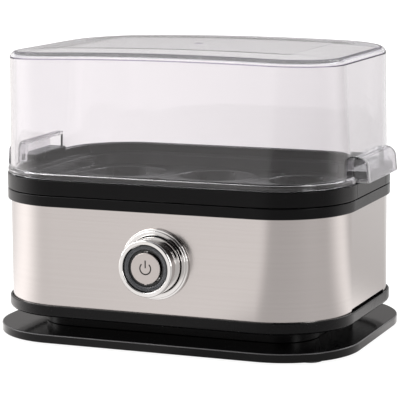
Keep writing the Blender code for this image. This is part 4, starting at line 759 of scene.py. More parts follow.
def endTree(tree, given, out, shape):
    # every tree ends in real geometry with its material
    real = addNode(tree, "GeometryNodeRealizeInstances", 500)
    paint = addNode(tree, "GeometryNodeSetMaterial", 700)
    wire(
        tree,
        (shape, real.inputs[0]),
        (real.outputs[0], paint.inputs["Geometry"]),
        (given.outputs["Finish"], paint.inputs["Material"]),
        (paint.outputs[0], out.inputs["Piece"]),
    )


def wireDoubled(tree, given, target, pairs):
    # the tree takes half sizes, and the target's sockets want whole ones
    for row, (label, socket) in enumerate(pairs):
        double = addNode(tree, "ShaderNodeMath", -950, 300 - 150 * row, {1: 2.0}, operation="MULTIPLY")
        wire(tree, (given.outputs[label], double.inputs[0]), (double.outputs[0], target.inputs[socket]))


def makeOutlineSweep():
    # sweeps a profile, drawn in X and Z, round the body's rounded outline
    tree, given, out = newGeometryTree(
        "outlineSweep",
        [
            ("Half Length", "NodeSocketFloat"),
            ("Half Depth", "NodeSocketFloat"),
            ("Corner Radius", "NodeSocketFloat"),
            ("Corner Steps", "NodeSocketInt"),
            ("Set Back", "NodeSocketFloat"),
            ("Finish", "NodeSocketMaterial"),
        ],
    )
    path = addNode(tree, "GeometryNodeCurvePrimitiveQuadrilateral", -700, 200)
    wireDoubled(tree, given, path, (("Half Length", "Width"), ("Half Depth", "Height")))
    corners = addNode(tree, "GeometryNodeFilletCurve", -450, 200, mode="POLY")
    upright = addNode(tree, "GeometryNodeSetCurveNormal", -250, 200, mode="Z_UP")
    profile = addNode(tree, "GeometryNodeMeshToCurve", -700, -150)
    upToBack = {"Rotation": (math.pi / 2, 0, 0)}  # the sweep wants the profile in X and -Y
    turn = addNode(tree, "GeometryNodeTransform", -450, -150, upToBack)
    sweep = addNode(tree, "GeometryNodeCurveToMesh", 0)
    move = addNode(tree, "GeometryNodeTransform", 250)
    shift = addNode(tree, "ShaderNodeCombineXYZ", 0, -300)
    wire(
        tree,
        (path.outputs["Curve"], corners.inputs["Curve"]),
        (given.outputs["Corner Radius"], corners.inputs["Radius"]),
        (given.outputs["Corner Steps"], corners.inputs["Count"]),
        (corners.outputs[0], upright.inputs[0]),
        (given.outputs["Shape"], profile.inputs[0]),
        (profile.outputs[0], turn.inputs["Geometry"]),
        (upright.outputs[0], sweep.inputs["Curve"]),
        (turn.outputs[0], sweep.inputs["Profile Curve"]),
        (given.outputs["Set Back"], shift.inputs["Y"]),
        (sweep.outputs[0], move.inputs["Geometry"]),
        (shift.outputs[0], move.inputs["Translation"]),
    )
    endTree(tree, given, out, move.outputs[0])
    return tree


def applyTree(obj, tree, values):
    modifier = obj.modifiers.new(tree.name, "NODES")
    modifier.node_group = tree
    for item in tree.interface.items_tree:
        if item.in_out == "INPUT" and item.name in values:
            modifier[item.identifier] = values[item.name]
    return settle(obj)


outlineSweep = makeOutlineSweep()


def sweptPiece(name, profile, finish):
    # profile is a closed line of (offset, height)
    line = [(offset, 0, height) for offset, height in profile]
    return applyTree(
        lineObject(name, [line], closed=True),
        outlineSweep,
        {
            "Half Length": body["halfLength"],
            "Half Depth": body["halfDepth"],
            "Corner Radius": body["cornerRadius"],
            "Corner Steps": body["cornerSteps"],
            "Set Back": body["setBack"],
            "Finish": finish,
        },
    )


# steel wall

knob = {"across": 0.0024, "face": -0.0555, "height": 0.0420, "steps": 112}
steelWall = {
    "thickness": 0.0008,
    "edge": 0.0002,
    "holeRadius": 0.01355,
    "drillReach": (0.008, 0.012),  # behind and before the steel
    "notchTop": 0.0198,
}


def knobMatrix(reach=0.0):
    # turns a piece made round Z so that it points out of the steel at the knob's place
    place = Matrix.Translation((knob["across"], knob["face"] - reach, knob["height"]))
    return place @ Matrix.Rotation(math.pi / 2, 4, "X")


def makeSteelWall():
    low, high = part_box("steel_sleeve")
    profile = roundedProfile(
        [
            (0, low.z, steelWall["edge"]),
            (0, high.z, steelWall["edge"]),
            (-steelWall["thickness"], high.z, steelWall["edge"]),
            (-steelWall["thickness"], low.z, steelWall["edge"]),
        ]
    )
    wall = sweptPiece("steelWall", profile, finishes["steel"])
    radius, (behind, before) = steelWall["holeRadius"], steelWall["drillReach"]
    drill = [(0, -behind), (radius, -behind), (radius, before), (0, before)]
    carve(wall, meshObject("hole", turnedMesh(drill, knob["steps"], knobMatrix())))
    for side in (-1, 1):
        ends = sorted((side * cornerX, side * (high.x + body["overrun"])))
        notch = boxMesh(
            (ends[0], body["setBack"] - cornerY, low.z - body["overrun"]),
            (ends[1], body["setBack"] + cornerY, steelWall["notchTop"]),
        )
        carve(wall, meshObject("notch", notch))
    finishPiece(wall, "base", finishes["steel"], ["steel_sleeve"])


makeSteelWall()


# black rings round the top

rings = {
    "overhang": 0.0016,
    "lowerHeight": 0.0051,
    "edge": 0.0005,
    "ledgeInset": 0.0066,
    "webThickness": 0.0023,
    "spigotInsets": (0.0011, 0.0031),  # its outer and inner face
    "spigotDrop": 0.0083,
    "legDrop": 0.0323,
    "seatWidth": 0.0026,
    "ledgeDrop": 0.0034,
    "legInset": 0.0015,
    "stepRise": 0.0022,
    "notchHalfWidth": 0.0223,
    "bridgeNotch": (0.0784, 0.0021),  # x of its inner end, depth below the top
    "panelNotch": (0.0834, 0.0090),
}
posts = {
    "places": ((-0.05905, -0.03365), (0.05905, -0.03365), (0.05905, 0.03365), (-0.05905, 0.03365)),
    "radius": 0.0042,
    "bossRadius": 0.0046,
    "low": 0.0220,
    "top": 0.0460,
    "gussetHeight": 0.010,
    "gussetWidth": 0.003,
    "gussetReach": 0.0201,
    "steps": 24,
}


def postMatrix(x, y):
    return Matrix.Translation((x, y + body["setBack"], 0))


def makeLowerRing():
    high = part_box("top_bezel")[1]
    base, top = high.z - rings["lowerHeight"], high.z
    web = top - rings["webThickness"]
    legBase = web - rings["legDrop"]
    outer, inner = rings["spigotInsets"]
    profile = roundedProfile(
        [
            (rings["overhang"], base, rings["edge"]),
            (rings["overhang"], top, rings["edge"]),
            (-rings["ledgeInset"], top, 0),
            (-rings["ledgeInset"], web, 0),
            (-inner, web, 0),
            (-inner, legBase, 0),
            (-outer, legBase, 0),
            (-outer, web, 0),
            (body["gap"], web, 0),
            (body["gap"], base, 0),
        ]
    )
    ring = sweptPiece("lowerRing", profile, finishes["black"])
    floor = legBase - body["overrun"]
    window = web - rings["spigotDrop"]
    back = body["setBack"]
    for halfX, halfY in ((cornerX, body["halfDepth"]), (body["halfLength"], cornerY)):
        opening = boxMesh((-halfX, back - halfY, floor), (halfX, back + halfY, window))
        carve(ring, meshObject("window", opening))
    parts = []
    for x, y in posts["places"]:
        place = postMatrix(x, y)
        bottom, top, radius = posts["low"], posts["top"], posts["radius"]
        column = [(0, bottom), (radius, bottom), (radius, top), (0, top)]
        parts.append(turnedMesh(column, posts["steps"], place))
        gusset = boxMesh(
            (0, -posts["gussetWidth"] / 2, top - posts["gussetHeight"]),
            (posts["gussetReach"], posts["gussetWidth"] / 2, top),
        )
        turn = Matrix.Rotation(math.atan2(math.copysign(1, y), math.copysign(1, x)), 4, "Z")
        bmesh.ops.transform(gusset, matrix=place @ turn, verts=gusset.verts)
        parts.append(gusset)
    for part in parts:
        carve(ring, meshObject("post", part), "UNION")
    finishPiece(ring, "base", finishes["black"], ["top_bezel"])


def makeUpperRing():
    low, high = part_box("pan_collar")
    base, top = low.z, high.z
    ledge = top - rings["ledgeDrop"]
    step = base + rings["stepRise"]
    profile = roundedProfile(
        [
            (rings["overhang"], base, rings["edge"]),
            (rings["overhang"], top, rings["edge"]),
            (-rings["seatWidth"], top, rings["edge"]),
            (-rings["seatWidth"], ledge, 0),
            (-rings["ledgeInset"], ledge, rings["edge"]),
            (-rings["ledgeInset"], step, 0),
            (-rings["legInset"], step, 0),
            (-rings["legInset"], base, 0),
        ]
    )
    ring = sweptPiece("upperRing", profile, finishes["black"])
    half, back = rings["notchHalfWidth"], body["setBack"]
    beyond, over = high.x + body["overrun"], top + body["overrun"]
    for side in (-1, 1):
        for inner, depth in (rings["bridgeNotch"], rings["panelNotch"]):
            ends = sorted((side * inner, side * beyond))
            notch = boxMesh((ends[0], back - half, top - depth), (ends[1], back + half, over))
            carve(ring, meshObject("notch", notch))
    finishPiece(ring, "base", finishes["black"], ["pan_collar"])


makeLowerRing()
makeUpperRing()


# chassis under the steel: lip, waist and inner spigot

chassis = {
    "lipOverhang": 0.0014,
    "rimWidth": 0.0054,
    "lipDrop": 0.0009,
    "lowerEdge": 0.0016,
    "upperEdge": 0.0005,
    "lipTop": 0.0185,
    "lipBase": 0.0138,
    "rebateFloor": 0.0157,
    "spigotTop": 0.0240,
    "webTop": 0.0160,
    "waistInset": 0.0160,
    "waistInnerInset": 0.0184,
    "holeRadius": 0.0020,
    "bossTop": 0.0217,
    "knobGap": (0.0163, 0.0163),  # half width, height of its floor
    "cordNotch": (0.0048, 0.0135),  # half width, height of its top
}


def makeChassis():
    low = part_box("chassis")[0]
    outer, inner = rings["spigotInsets"]
    lip, rimBase = chassis["lipOverhang"], chassis["lipBase"] - chassis["lipDrop"]
    profile = roundedProfile(
        [
            (lip - chassis["rimWidth"], chassis["lipBase"], 0),
            (lip - chassis["rimWidth"], rimBase, 0),
            (lip, rimBase, chassis["lowerEdge"]),
            (lip, chassis["lipTop"], chassis["upperEdge"]),
            (body["gap"], chassis["lipTop"], 0),
            (body["gap"], chassis["rebateFloor"], 0),
            (-outer, chassis["rebateFloor"], 0),
            (-outer, chassis["spigotTop"], 0),
            (-inner, chassis["spigotTop"], 0),
            (-inner, chassis["webTop"], 0),
            (-chassis["waistInnerInset"], chassis["webTop"], 0),
            (-chassis["waistInnerInset"], low.z, 0),
            (-chassis["waistInset"], low.z, 0),
            (-chassis["waistInset"], chassis["lipBase"], 0),
        ]
    )
    shell = sweptPiece("chassisShell", profile, finishes["blackMoulded"])
    for x, y in posts["places"]:
        place = postMatrix(x, y)
        size, hole, top = posts["bossRadius"], chassis["holeRadius"], chassis["bossTop"]
        boss = turnedMesh([(hole, low.z), (size, low.z), (size, top), (hole, top)], posts["steps"], place)
        carve(shell, meshObject("boss", boss), "UNION")
    front = body["setBack"] - body["halfDepth"]
    halfGap, gapFloor = chassis["knobGap"]
    knobGap = boxMesh(
        (knob["across"] - halfGap, front + steelWall["thickness"], gapFloor),
        (knob["across"] + halfGap, front + chassis["waistInset"], chassis["spigotTop"] + body["overrun"]),
    )
    carve(shell, meshObject("knobGap", knobGap))
    halfNotch, notchTop = chassis["cordNotch"]
    rear = body["setBack"] + body["halfDepth"]
    cordNotch = boxMesh(
        (-halfNotch, rear - chassis["waistInnerInset"] - body["overrun"], low.z - body["overrun"]),
        (halfNotch, rear - chassis["waistInset"] + body["overrun"], notchTop),
    )
    carve(shell, meshObject("cordNotch", cordNotch))
    finishPiece(shell, "base", finishes["blackMoulded"], ["chassis"])


makeChassis()


# foot plate, pads and screws

plate = {
    "overhang": 0.0048,
    "radius": 0.0372,
    "edge": 0.0007,
    "wellRadius": 0.0068,
    "wellDepth": 0.0012,
    "screwWell": (0.0038, 0.0028),  # radius, depth
    "screwHole": 0.0020,
    "label": (0.060, 0.032, 0.0006),  # length, width and depth of the recess
    "paintedHighlightSlants": (0.2, 0.95),  # the upward lean of the faces on the upper rim that get the painted highlight
    "cornerSteps": 24,
}
pads = {"radius": 0.0065, "edge": 0.0009, "dimple": 0.0036, "dimpleDepth": 0.0004, "steps": 40}
screws = {
    "headRadius": 0.0035,
    "headHeight": 0.0022,
    "edge": 0.0004,
    "shankRadius": 0.0017,
    "slotReach": 0.00175,
    "slotHalf": 0.0006,
    "slotDepth": 0.0010,
    "steps": 32,
}


def makeFootPlate():
    low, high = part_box("base_cover")
    inset = 2 * plate["edge"]
    profile = roundedProfile(
        [(-inset, low.z, 0), (0, low.z, plate["edge"]), (0, high.z, plate["edge"]), (-inset, high.z, 0)],
        closed=False,
    )
    outline = {"radius": plate["radius"], "grow": plate["overhang"], "cornerSteps": plate["cornerSteps"]}
    rows = [outlineRing(offset, height, **outline) for offset, height in profile]
    made = meshObject("footPlate", skinRings(rows))
    wells = []
    under, over = low.z - body["overrun"], high.z + body["overrun"]
    for number in range(1, 5):
        padLow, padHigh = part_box(f"foot_pad_{number}")
        middle = (padLow + padHigh) / 2
        top = low.z + plate["wellDepth"]
        pocket = [(0, under), (plate["wellRadius"], under), (plate["wellRadius"], top), (0, top)]
        wells.append(turnedMesh(pocket, pads["steps"], Matrix.Translation((middle.x, middle.y, 0))))
    for x, y in posts["places"]:
        radius, depth = plate["screwWell"]
        drill = [
            (0, under),
            (radius, under),
            (radius, low.z + depth),
            (plate["screwHole"], low.z + depth),
            (plate["screwHole"], over),
            (0, over),
        ]
        wells.append(turnedMesh(drill, screws["steps"], postMatrix(x, y)))
    for well in wells:
        carve(made, meshObject("well", well))
    length, width, sink = plate["label"]
    front, rear = body["setBack"] - width / 2, body["setBack"] + width / 2
    label = boxMesh((-length / 2, front, under), (length / 2, rear, low.z + sink))
    carve(made, meshObject("label", label))
    finishPiece(made, "base", finishes["blackSmooth"], ["base_cover"])
    # faces on the upper rim get the lighter black: a painted highlight along the edge
    made.data.materials.append(finishes["blackPaintedHighlight"])
    least, most = plate["paintedHighlightSlants"]
    for face in made.data.polygons:
        if face.center.z > high.z - plate["edge"] and least < face.normal.z < most:
            face.material_index = 1


def makeRepeatTree():
    # the shape on the four corners of a rectangle round the body's middle
    tree, given, out = newGeometryTree(
        "fourCorners",
        [
            ("Corner X", "NodeSocketFloat"),
            ("Corner Y", "NodeSocketFloat"),
            ("Set Back", "NodeSocketFloat"),
            ("Finish", "NodeSocketMaterial"),
        ],
    )
    spots = addNode(tree, "GeometryNodeMeshGrid", -700, 0, {"Vertices X": 2, "Vertices Y": 2})
    wireDoubled(tree, given, spots, (("Corner X", "Size X"), ("Corner Y", "Size Y")))
    place = addNode(tree, "GeometryNodeInstanceOnPoints", -300)
    move = addNode(tree, "GeometryNodeTransform", 100)
    shift = addNode(tree, "ShaderNodeCombineXYZ", -300, -300)
    wire(
        tree,
        (spots.outputs["Mesh"], place.inputs["Points"]),
        (given.outputs["Shape"], place.inputs["Instance"]),
        (given.outputs["Set Back"], shift.inputs["Y"]),
        (place.outputs[0], move.inputs["Geometry"]),
        (shift.outputs[0], move.inputs["Translation"]),
    )
    endTree(tree, given, out, move.outputs[0])
    return tree


fourCorners = makeRepeatTree()


def putAtCorners(made, low, high, finish):
    # low and high are the box of the copy at the right rear corner
    middle = (low + high) / 2
    values = {"Corner X": middle.x, "Corner Y": middle.y - body["setBack"], "Set Back": body["setBack"]}
    return applyTree(made, fourCorners, {**values, "Finish": finish})


def makeFootPads():
    low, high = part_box("foot_pad_3")
    profile = roundedProfile(
        [
            (0, pads["dimpleDepth"], 0),
            (pads["dimple"] - pads["dimpleDepth"], pads["dimpleDepth"], 0),
            (pads["dimple"], 0, 0),
            (pads["radius"], 0, pads["edge"]),
            (pads["radius"], high.z, 0),
            (0, high.z, 0),
        ],
        closed=False,
    )
    made = meshObject("footPads", turnedMesh(profile, pads["steps"]))
    putAtCorners(made, low, high, finishes["rubber"])
    replaced = [f"foot_pad_{number}" for number in range(1, 5)]
    finishPiece(made, "base", finishes["rubber"], replaced)


def makeCaseScrews():
    low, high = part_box("case_screw_3")
    profile = roundedProfile(
        [
            (0, low.z, 0),
            (screws["headRadius"], low.z, screws["edge"]),
            (screws["headRadius"], low.z + screws["headHeight"], 0),
            (screws["shankRadius"], low.z + screws["headHeight"], 0),
            (screws["shankRadius"], high.z - screws["shankRadius"], 0),
            (0, high.z, 0),
        ],
        closed=False,
    )
    made = meshObject("caseScrews", turnedMesh(profile, screws["steps"]))
    reach, half, depth = screws["slotReach"], screws["slotHalf"], screws["slotDepth"]
    for halfX, halfY in ((reach, half), (half, reach)):
        slot = boxMesh((-halfX, -halfY, low.z - body["overrun"]), (halfX, halfY, low.z + depth))
        carve(made, meshObject("slot", slot))
    putAtCorners(made, low, high, finishes["zinc"])
    replaced = [f"case_screw_{number}" for number in range(1, 5)]
    finishPiece(made, "base", finishes["zinc"], replaced)


makeFootPlate()
makeFootPads()
makeCaseScrews()


# pan and its seal

pan = {
    "wall": 0.0008,
    "mouthInset": 0.0080,
    "floorInset": 0.0124,
    "flangeInset": 0.0018,
    "floorEdge": 0.004,
    "sealInsets": (0.0024, 0.0062),  # its outer and inner edge
    "edgeSteps": 7,
    "sideSteps": 6,
}


def makePan():
    low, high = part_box("boiling_pan")
    wall, edge = pan["wall"], pan["floorEdge"]
    cap = pan["floorInset"] + 2 * edge
    profile = roundedProfile(
        [
            (-cap, low.z, 0),
            (wall - pan["floorInset"], low.z, edge + wall),
            (wall - pan["mouthInset"], high.z - wall, wall / 2),
            (-pan["flangeInset"], high.z - wall, 0),
            (-pan["flangeInset"], high.z, 0),
            (-pan["mouthInset"], high.z, wall),
            (-pan["floorInset"], low.z + wall, edge),
            (-cap, low.z + wall, 0),
        ],
        closed=False,
        steps=pan["edgeSteps"],
    )
    rows = [outlineRing(offset, height, sideSteps=pan["sideSteps"]) for offset, height in profile]
    made = meshObject("waterPan", skinRings(rows))
    finishPiece(made, "base", finishes["pan"], ["boiling_pan"])


def makePanSeal():
    low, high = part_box("pan_seal")
    outer, inner = pan["sealInsets"]
    band = [(-outer, low.z), (-outer, high.z), (-inner, high.z), (-inner, low.z)]
    seal = sweptPiece("panSeal", band, finishes["seal"])
    finishPiece(seal, "base", finishes["seal"], ["pan_seal"])


makePan()
makePanSeal()


# egg tray

tray = {
    "wall": 0.0016,
    "rimInset": 0.0029,
    "rimInnerInset": 0.0045,
    "topInset": 0.0086,
    "bottomInset": 0.0104,
    "deckInset": 0.0120,
    "edge": 0.0007,
    "flangeBase": 0.0749,
    "rimTop": 0.0810,
    "deckBase": 0.0696,
    "seatPitch": (0.047, 0.044),  # along the length, along the depth
    "seatRadius": 0.0185,
    "throatRadius": 0.015,
    "seatBase": 0.0644,
    "seatLip": 0.0006,
    "seatSliver": 0.00002,  # keeps the seat's lip off the deck's own plane
    "cupWall": 0.0015,
    "slotWidth": 0.003,
    "slotHeight": 0.0038,
    "steamRadius": 0.0035,
    "seatSteps": 60,
    "steamSteps": 28,
    "edgeSteps": 4,
    "sideSteps": 4,
}
grips = {
    "root": 0.0813,
    "face": 0.0866,
    "panelBack": 0.0837,
    "panelHalf": 0.022,
    "panelBase": 0.0709,
    "bridgeTop": 0.0780,
    "bridgeBase": 0.0762,
    "riserHalf": 0.018,
    "tabRoot": 0.0802,
    "tabEnd": 0.0900,
    "tabBase": 0.0796,
    "tabTop": 0.0831,
    "edge": 0.0006,
    "edgeSteps": 3,
}


def seatRadiusAt(height):
    share = (height - tray["seatBase"]) / (tray["deckBase"] + tray["wall"] - tray["seatBase"])
    return tray["throatRadius"] + share * (tray["seatRadius"] - tray["throatRadius"])


def seatPlaces():
    pitchX, pitchY = tray["seatPitch"]
    acrossPlaces = [column * pitchX for column in (-1, 0, 1)]
    return [(across, row * pitchY / 2 + body["setBack"]) for row in (-1, 1) for across in acrossPlaces]


def trayBasin():
    edge, wall = tray["edge"], tray["wall"]
    deckTop, flangeTop = tray["deckBase"] + wall, tray["flangeBase"] + wall
    cap = tray["deckInset"] + 2 * edge
    profile = roundedProfile(
        [
            (-cap, tray["deckBase"], 0),
            (-tray["bottomInset"], tray["deckBase"], edge),
            (-tray["topInset"], tray["flangeBase"], 0),
            (-tray["rimInset"], tray["flangeBase"], 0),
            (-tray["rimInset"], tray["rimTop"], edge),
            (-tray["rimInnerInset"], tray["rimTop"], edge),
            (-tray["rimInnerInset"], flangeTop, edge),
            (-tray["topInset"] - wall, flangeTop, edge),
            (-tray["deckInset"], deckTop, edge),
            (-cap, deckTop, 0),
        ],
        closed=False,
        steps=tray["edgeSteps"],
    )
    rows = [outlineRing(offset, height, sideSteps=tray["sideSteps"]) for offset, height in profile]
    return meshObject("eggTray", skinRings(rows))


def addGrips(made):
    middle = (grips["bridgeTop"] + grips["bridgeBase"]) / 2
    panel = [
        (grips["root"], grips["bridgeBase"], 0),
        (grips["root"], grips["bridgeTop"], 0),
        (grips["face"], grips["bridgeTop"], grips["edge"]),
        (grips["face"], grips["panelBase"], grips["edge"]),
        (grips["panelBack"], grips["panelBase"], grips["edge"]),
        (grips["panelBack"], grips["bridgeBase"], 0),
    ]
    tab = [
        (grips["panelBack"] - grips["edge"], middle, 0),
        (grips["panelBack"] - grips["edge"], grips["tabBase"], grips["edge"]),
        (grips["tabRoot"], grips["tabBase"], grips["edge"]),
        (grips["tabRoot"], grips["tabTop"], grips["edge"]),
        (grips["tabEnd"], grips["tabTop"], grips["edge"]),
        (grips["tabEnd"], grips["tabBase"], grips["edge"]),
        (grips["face"] - grips["edge"], grips["tabBase"], grips["edge"]),
        (grips["face"] - grips["edge"], middle, 0),
    ]
    for side in (-1, 1):
        for corners, half in ((panel, grips["panelHalf"]), (tab, grips["riserHalf"])):
            points = [(side * x, z) for x, z in roundedProfile(corners, steps=grips["edgeSteps"])]
            carve(made, meshObject("grip", extrudedProfile(points, half, body["setBack"])), "UNION")


def addSeats(made):
    deckTop = tray["deckBase"] + tray["wall"]
    joined = tray["deckBase"] + tray["wall"] / 2
    base, steps = tray["seatBase"], tray["seatSteps"]
    under, over = base - body["overrun"], deckTop + body["overrun"]
    wall = tray["cupWall"]
    walls, bores, bars = [], [], []
    for x, y in seatPlaces():
        place = Matrix.Translation((x, y, 0)) @ Matrix.Rotation(math.pi / steps, 4, "Z")
        outside = [
            (0, base),
            (seatRadiusAt(base) + wall, base),
            (seatRadiusAt(joined) + wall, joined),
            (0, joined),
        ]
        inside = [
            (0, under),
            (seatRadiusAt(under), under),
            (seatRadiusAt(deckTop - tray["seatLip"]), deckTop - tray["seatLip"]),
            (seatRadiusAt(deckTop) + tray["seatLip"], deckTop + tray["seatSliver"]),
            (seatRadiusAt(deckTop) + tray["seatLip"], over),
            (0, over),
        ]
        walls.append(turnedMesh(outside, steps, place))
        bores.append(turnedMesh(inside, steps, place))
        reach = seatRadiusAt(base + tray["slotHeight"]) + wall + body["overrun"]
        half = tray["slotWidth"] / 2
        for turn in (math.pi / 4, -math.pi / 4):
            bar = boxMesh((-reach, -half, under), (reach, half, base + tray["slotHeight"]))
            across = Matrix.Translation((x, y, 0)) @ Matrix.Rotation(turn, 4, "Z")
            bmesh.ops.transform(bar, matrix=across, verts=bar.verts)
            bars.append(bar)
    cups = meshObject("cups", gathered(walls))
    carve(cups, meshObject("bars", gathered(bars[::2])))
    carve(cups, meshObject("bars", gathered(bars[1::2])))
    carve(made, cups, "UNION")
    carve(made, meshObject("bores", gathered(bores)))


def addSteamHoles(made):
    deckTop = tray["deckBase"] + tray["wall"]
    between = tray["seatPitch"][0] / 2
    atEnd = tray["seatPitch"][0] + tray["seatRadius"]
    holes = []
    for x in (-atEnd, -between, between, atEnd):
        low, high = tray["deckBase"] - body["overrun"], deckTop + body["overrun"]
        hole = [(0, low), (tray["steamRadius"], low), (tray["steamRadius"], high), (0, high)]
        holes.append(turnedMesh(hole, tray["steamSteps"], Matrix.Translation((x, body["setBack"], 0))))
    carve(made, meshObject("holes", gathered(holes)))


def makeTray():
    made = trayBasin()
    addGrips(made)
    addSeats(made)
    addSteamHoles(made)
    finishPiece(made, "tray", finishes["black"], ["egg_tray"], sharpAngle=38)


makeTray()


# knob on the front

knobParts = {
    "flangeRadius": 0.0165,
    "flangeTop": 0.0027,
    "flangeStep": (0.0009, 0.0008),  # width, depth
    "flangeEdges": (0.0003, 0.0009, 0.0006),  # rear, outer, inner
    "barrelRadius": 0.01325,
    "barrelReach": 0.0130,
    "barrelRear": 0.0080,
    "rimEdge": 0.0014,
    "boreEdge": 0.0005,
    "bore": 0.0110,
    "web": (0.0015, 0.0035),  # heights between which it closes the bore
    "stemBore": 0.0031,
    "ringRadius": 0.0107,
    "ringInner": 0.0077,
    "ringFront": 0.0124,
    "ringBack": 0.0053,
    "ringSlope": (0.0019, 0.0007),  # width, depth
    "ringGroove": (0.0022, 0.0016),
    "ringEdge": 0.0004,
    "buttonRadius": 0.0072,
    "buttonEdge": 0.0003,
    "buttonBack": 0.0102,
    "stemRadius": 0.0026,
    "stemRear": 0.0060,
    "ringPaintedLight": (  # painted light and shade on the ring at each radius: a painted highlight band between painted shade bands
        (0.0060, 0.05),
        (0.0085, 0.05),
        (0.0089, 0.9),
        (0.0101, 1.0),
        (0.0103, 0.25),
        (0.0110, 0.25),
    ),
    "lug": (0.0066, 0.00745, 0.0006, 0.0010, 0.0001),  # from, to, half width, depth, step below the face
    "edgeSteps": {"flange": 6, "barrel": 7, "ring": 5, "button": 5},
}
chrome = {"colours": ((0.80, 0.79, 0.78), (0.86, 0.85, 0.84)), "roughness": (0.03, 0.09)}
turnedFaces = {  # two colours, how metallic, roughness, spacing and depth of the circles, painted light and shade by radius
    "smoked": (
        (0.13, 0.135, 0.145),
        (0.19, 0.195, 0.21),
        0.0,
        (0.12, 0.2),
        0.0009,
        0.00001,
        knobParts["ringPaintedLight"],
    ),
    "satin": ((0.57, 0.53, 0.51), (0.61, 0.57, 0.55), 1.0, (0.32, 0.38), 0.00012, 0.000001),
}


def chromeFinish():
    # polished metal, dulled a little in small soft patches
    material, tree, shader, place = startMaterial("brightChrome", {"Metallic": 1.0})
    cloud = useGroup(tree, grainGroup, place, {"Grain Size": 0.0008, "Patch Size": 0.006})
    wire(tree, (blended(tree, cloud.outputs["Patch"], *chrome["colours"]), shader.inputs["Base Color"]))
    wear(tree, shader, place, chrome["roughness"], size=0.008)
    return material


def turnedFinish(name, colour, other, metallic, roughness, pitch, depth, paintedLight=None):
    # a face turned on a lathe, or a moulded one with circles in it, round the knob's axis
    material, tree, shader, place = startMaterial(name, {"Metallic": metallic})
    centre = (knob["across"], knob["face"], knob["height"])
    circles = useGroup(tree, turnedGroup, place, {"Centre": centre, "Pitch": pitch})
    painted = blended(tree, circles.outputs["Height"], colour, other)
    if paintedLight:  # the colour is multiplied by the painted light and shade at each radius
        outermost = paintedLight[-1][0]
        reach = addNode(tree, "ShaderNodeMath", -600, 300, {1: outermost}, operation="DIVIDE")
        ramp = addNode(tree, "ShaderNodeValToRGB", -400, 300)
        fillRamp(ramp, [(radius / outermost, (level, level, level)) for radius, level in paintedLight])
        paintedLit = addNode(
            tree, "ShaderNodeMix", -100, 300, {"Factor": 1.0}, data_type="RGBA", blend_type="MULTIPLY"
        )
        wire(
            tree,
            (circles.outputs["Radius"], reach.inputs[0]),
            (reach.outputs[0], ramp.inputs["Fac"]),
            (painted, paintedLit.inputs["A"]),
            (ramp.outputs["Color"], paintedLit.inputs["B"]),
        )
        painted = paintedLit.outputs["Result"]
    wire(tree, (painted, shader.inputs["Base Color"]))
    wear(tree, shader, place, roughness, size=0.006)
    bump(tree, shader, circles.outputs["Height"], depth)
    return material


finishes["chrome"] = chromeFinish()
finishes.update({name: turnedFinish(name, *values) for name, values in turnedFaces.items()})


def knobPiece(name, profile, bodyName, material, node):
    made = meshObject(name, turnedMesh(profile, knob["steps"], knobMatrix()))
    return finishPiece(made, bodyName, material, [node])


def makeKnob():
    steps = knobParts["edgeSteps"]
    inner = knobParts["barrelRadius"] + body["gap"]
    stepWidth, stepDepth = knobParts["flangeStep"]
    rearEdge, outerEdge, innerEdge = knobParts["flangeEdges"]
    flange = roundedProfile(
        [
            (inner, body["gap"], 0),
            (knobParts["flangeRadius"], body["gap"], rearEdge),
            (knobParts["flangeRadius"], knobParts["flangeTop"] - stepDepth, outerEdge),
            (knobParts["flangeRadius"] - stepWidth, knobParts["flangeTop"] - stepDepth, 0),
            (knobParts["flangeRadius"] - stepWidth, knobParts["flangeTop"], innerEdge),
            (inner, knobParts["flangeTop"], innerEdge),
        ],
        steps=steps["flange"],
    )
    knobPiece("knobFlange", flange, "base", finishes["chrome"], "knob_flange")
    barrel = roundedProfile(
        [
            (knobParts["barrelRadius"], -knobParts["barrelRear"], 0),
            (knobParts["barrelRadius"], knobParts["barrelReach"], knobParts["rimEdge"]),
            (knobParts["bore"], knobParts["barrelReach"], knobParts["boreEdge"]),
            (knobParts["bore"], knobParts["web"][1], 0),
            (knobParts["stemBore"], knobParts["web"][1], 0),
            (knobParts["stemBore"], knobParts["web"][0], 0),
            (knobParts["bore"], knobParts["web"][0], 0),
            (knobParts["bore"], -knobParts["barrelRear"], 0),
        ],
        steps=steps["barrel"],
    )
    knobPiece("knobBarrel", barrel, "base", finishes["chrome"], "knob_barrel")
    slopeIn, slopeDown = knobParts["ringSlope"]
    grooveIn, grooveDown = knobParts["ringGroove"]
    edge, front = knobParts["ringEdge"], knobParts["ringFront"]
    ring = roundedProfile(
        [
            (knobParts["ringInner"], knobParts["ringBack"], 0),
            (knobParts["ringRadius"], knobParts["ringBack"], 0),
            (knobParts["ringRadius"], front, edge),
            (knobParts["ringRadius"] - slopeIn, front - slopeDown, edge),
            (knobParts["ringRadius"] - grooveIn, front - grooveDown, edge / 2),
            (knobParts["ringInner"], front - grooveDown, 0),
        ],
        steps=steps["ring"],
    )
    knobPiece("lightRing", ring, "base", finishes["smoked"], "light_ring")
    button = roundedProfile(
        [
            (0, -knobParts["stemRear"], 0),
            (knobParts["stemRadius"], -knobParts["stemRear"], 0),
            (knobParts["stemRadius"], knobParts["buttonBack"], 0),
            (knobParts["buttonRadius"], knobParts["buttonBack"], 0),
            (knobParts["buttonRadius"], front, knobParts["buttonEdge"]),
            (0, front, 0),
        ],
        closed=False,
        steps=steps["button"],
    )
    face = meshObject("powerButton", turnedMesh(button, knob["steps"], knobMatrix()))
    inside, outside, half, depth, step = knobParts["lug"]
    lug = boxMesh((-half, -outside, front - depth), (half, -inside, front - step))
    bmesh.ops.transform(lug, matrix=knobMatrix(), verts=lug.verts)
    carve(face, meshObject("lug", lug), "UNION")
    finishPiece(face, "button", finishes["satin"], ["power_button"])


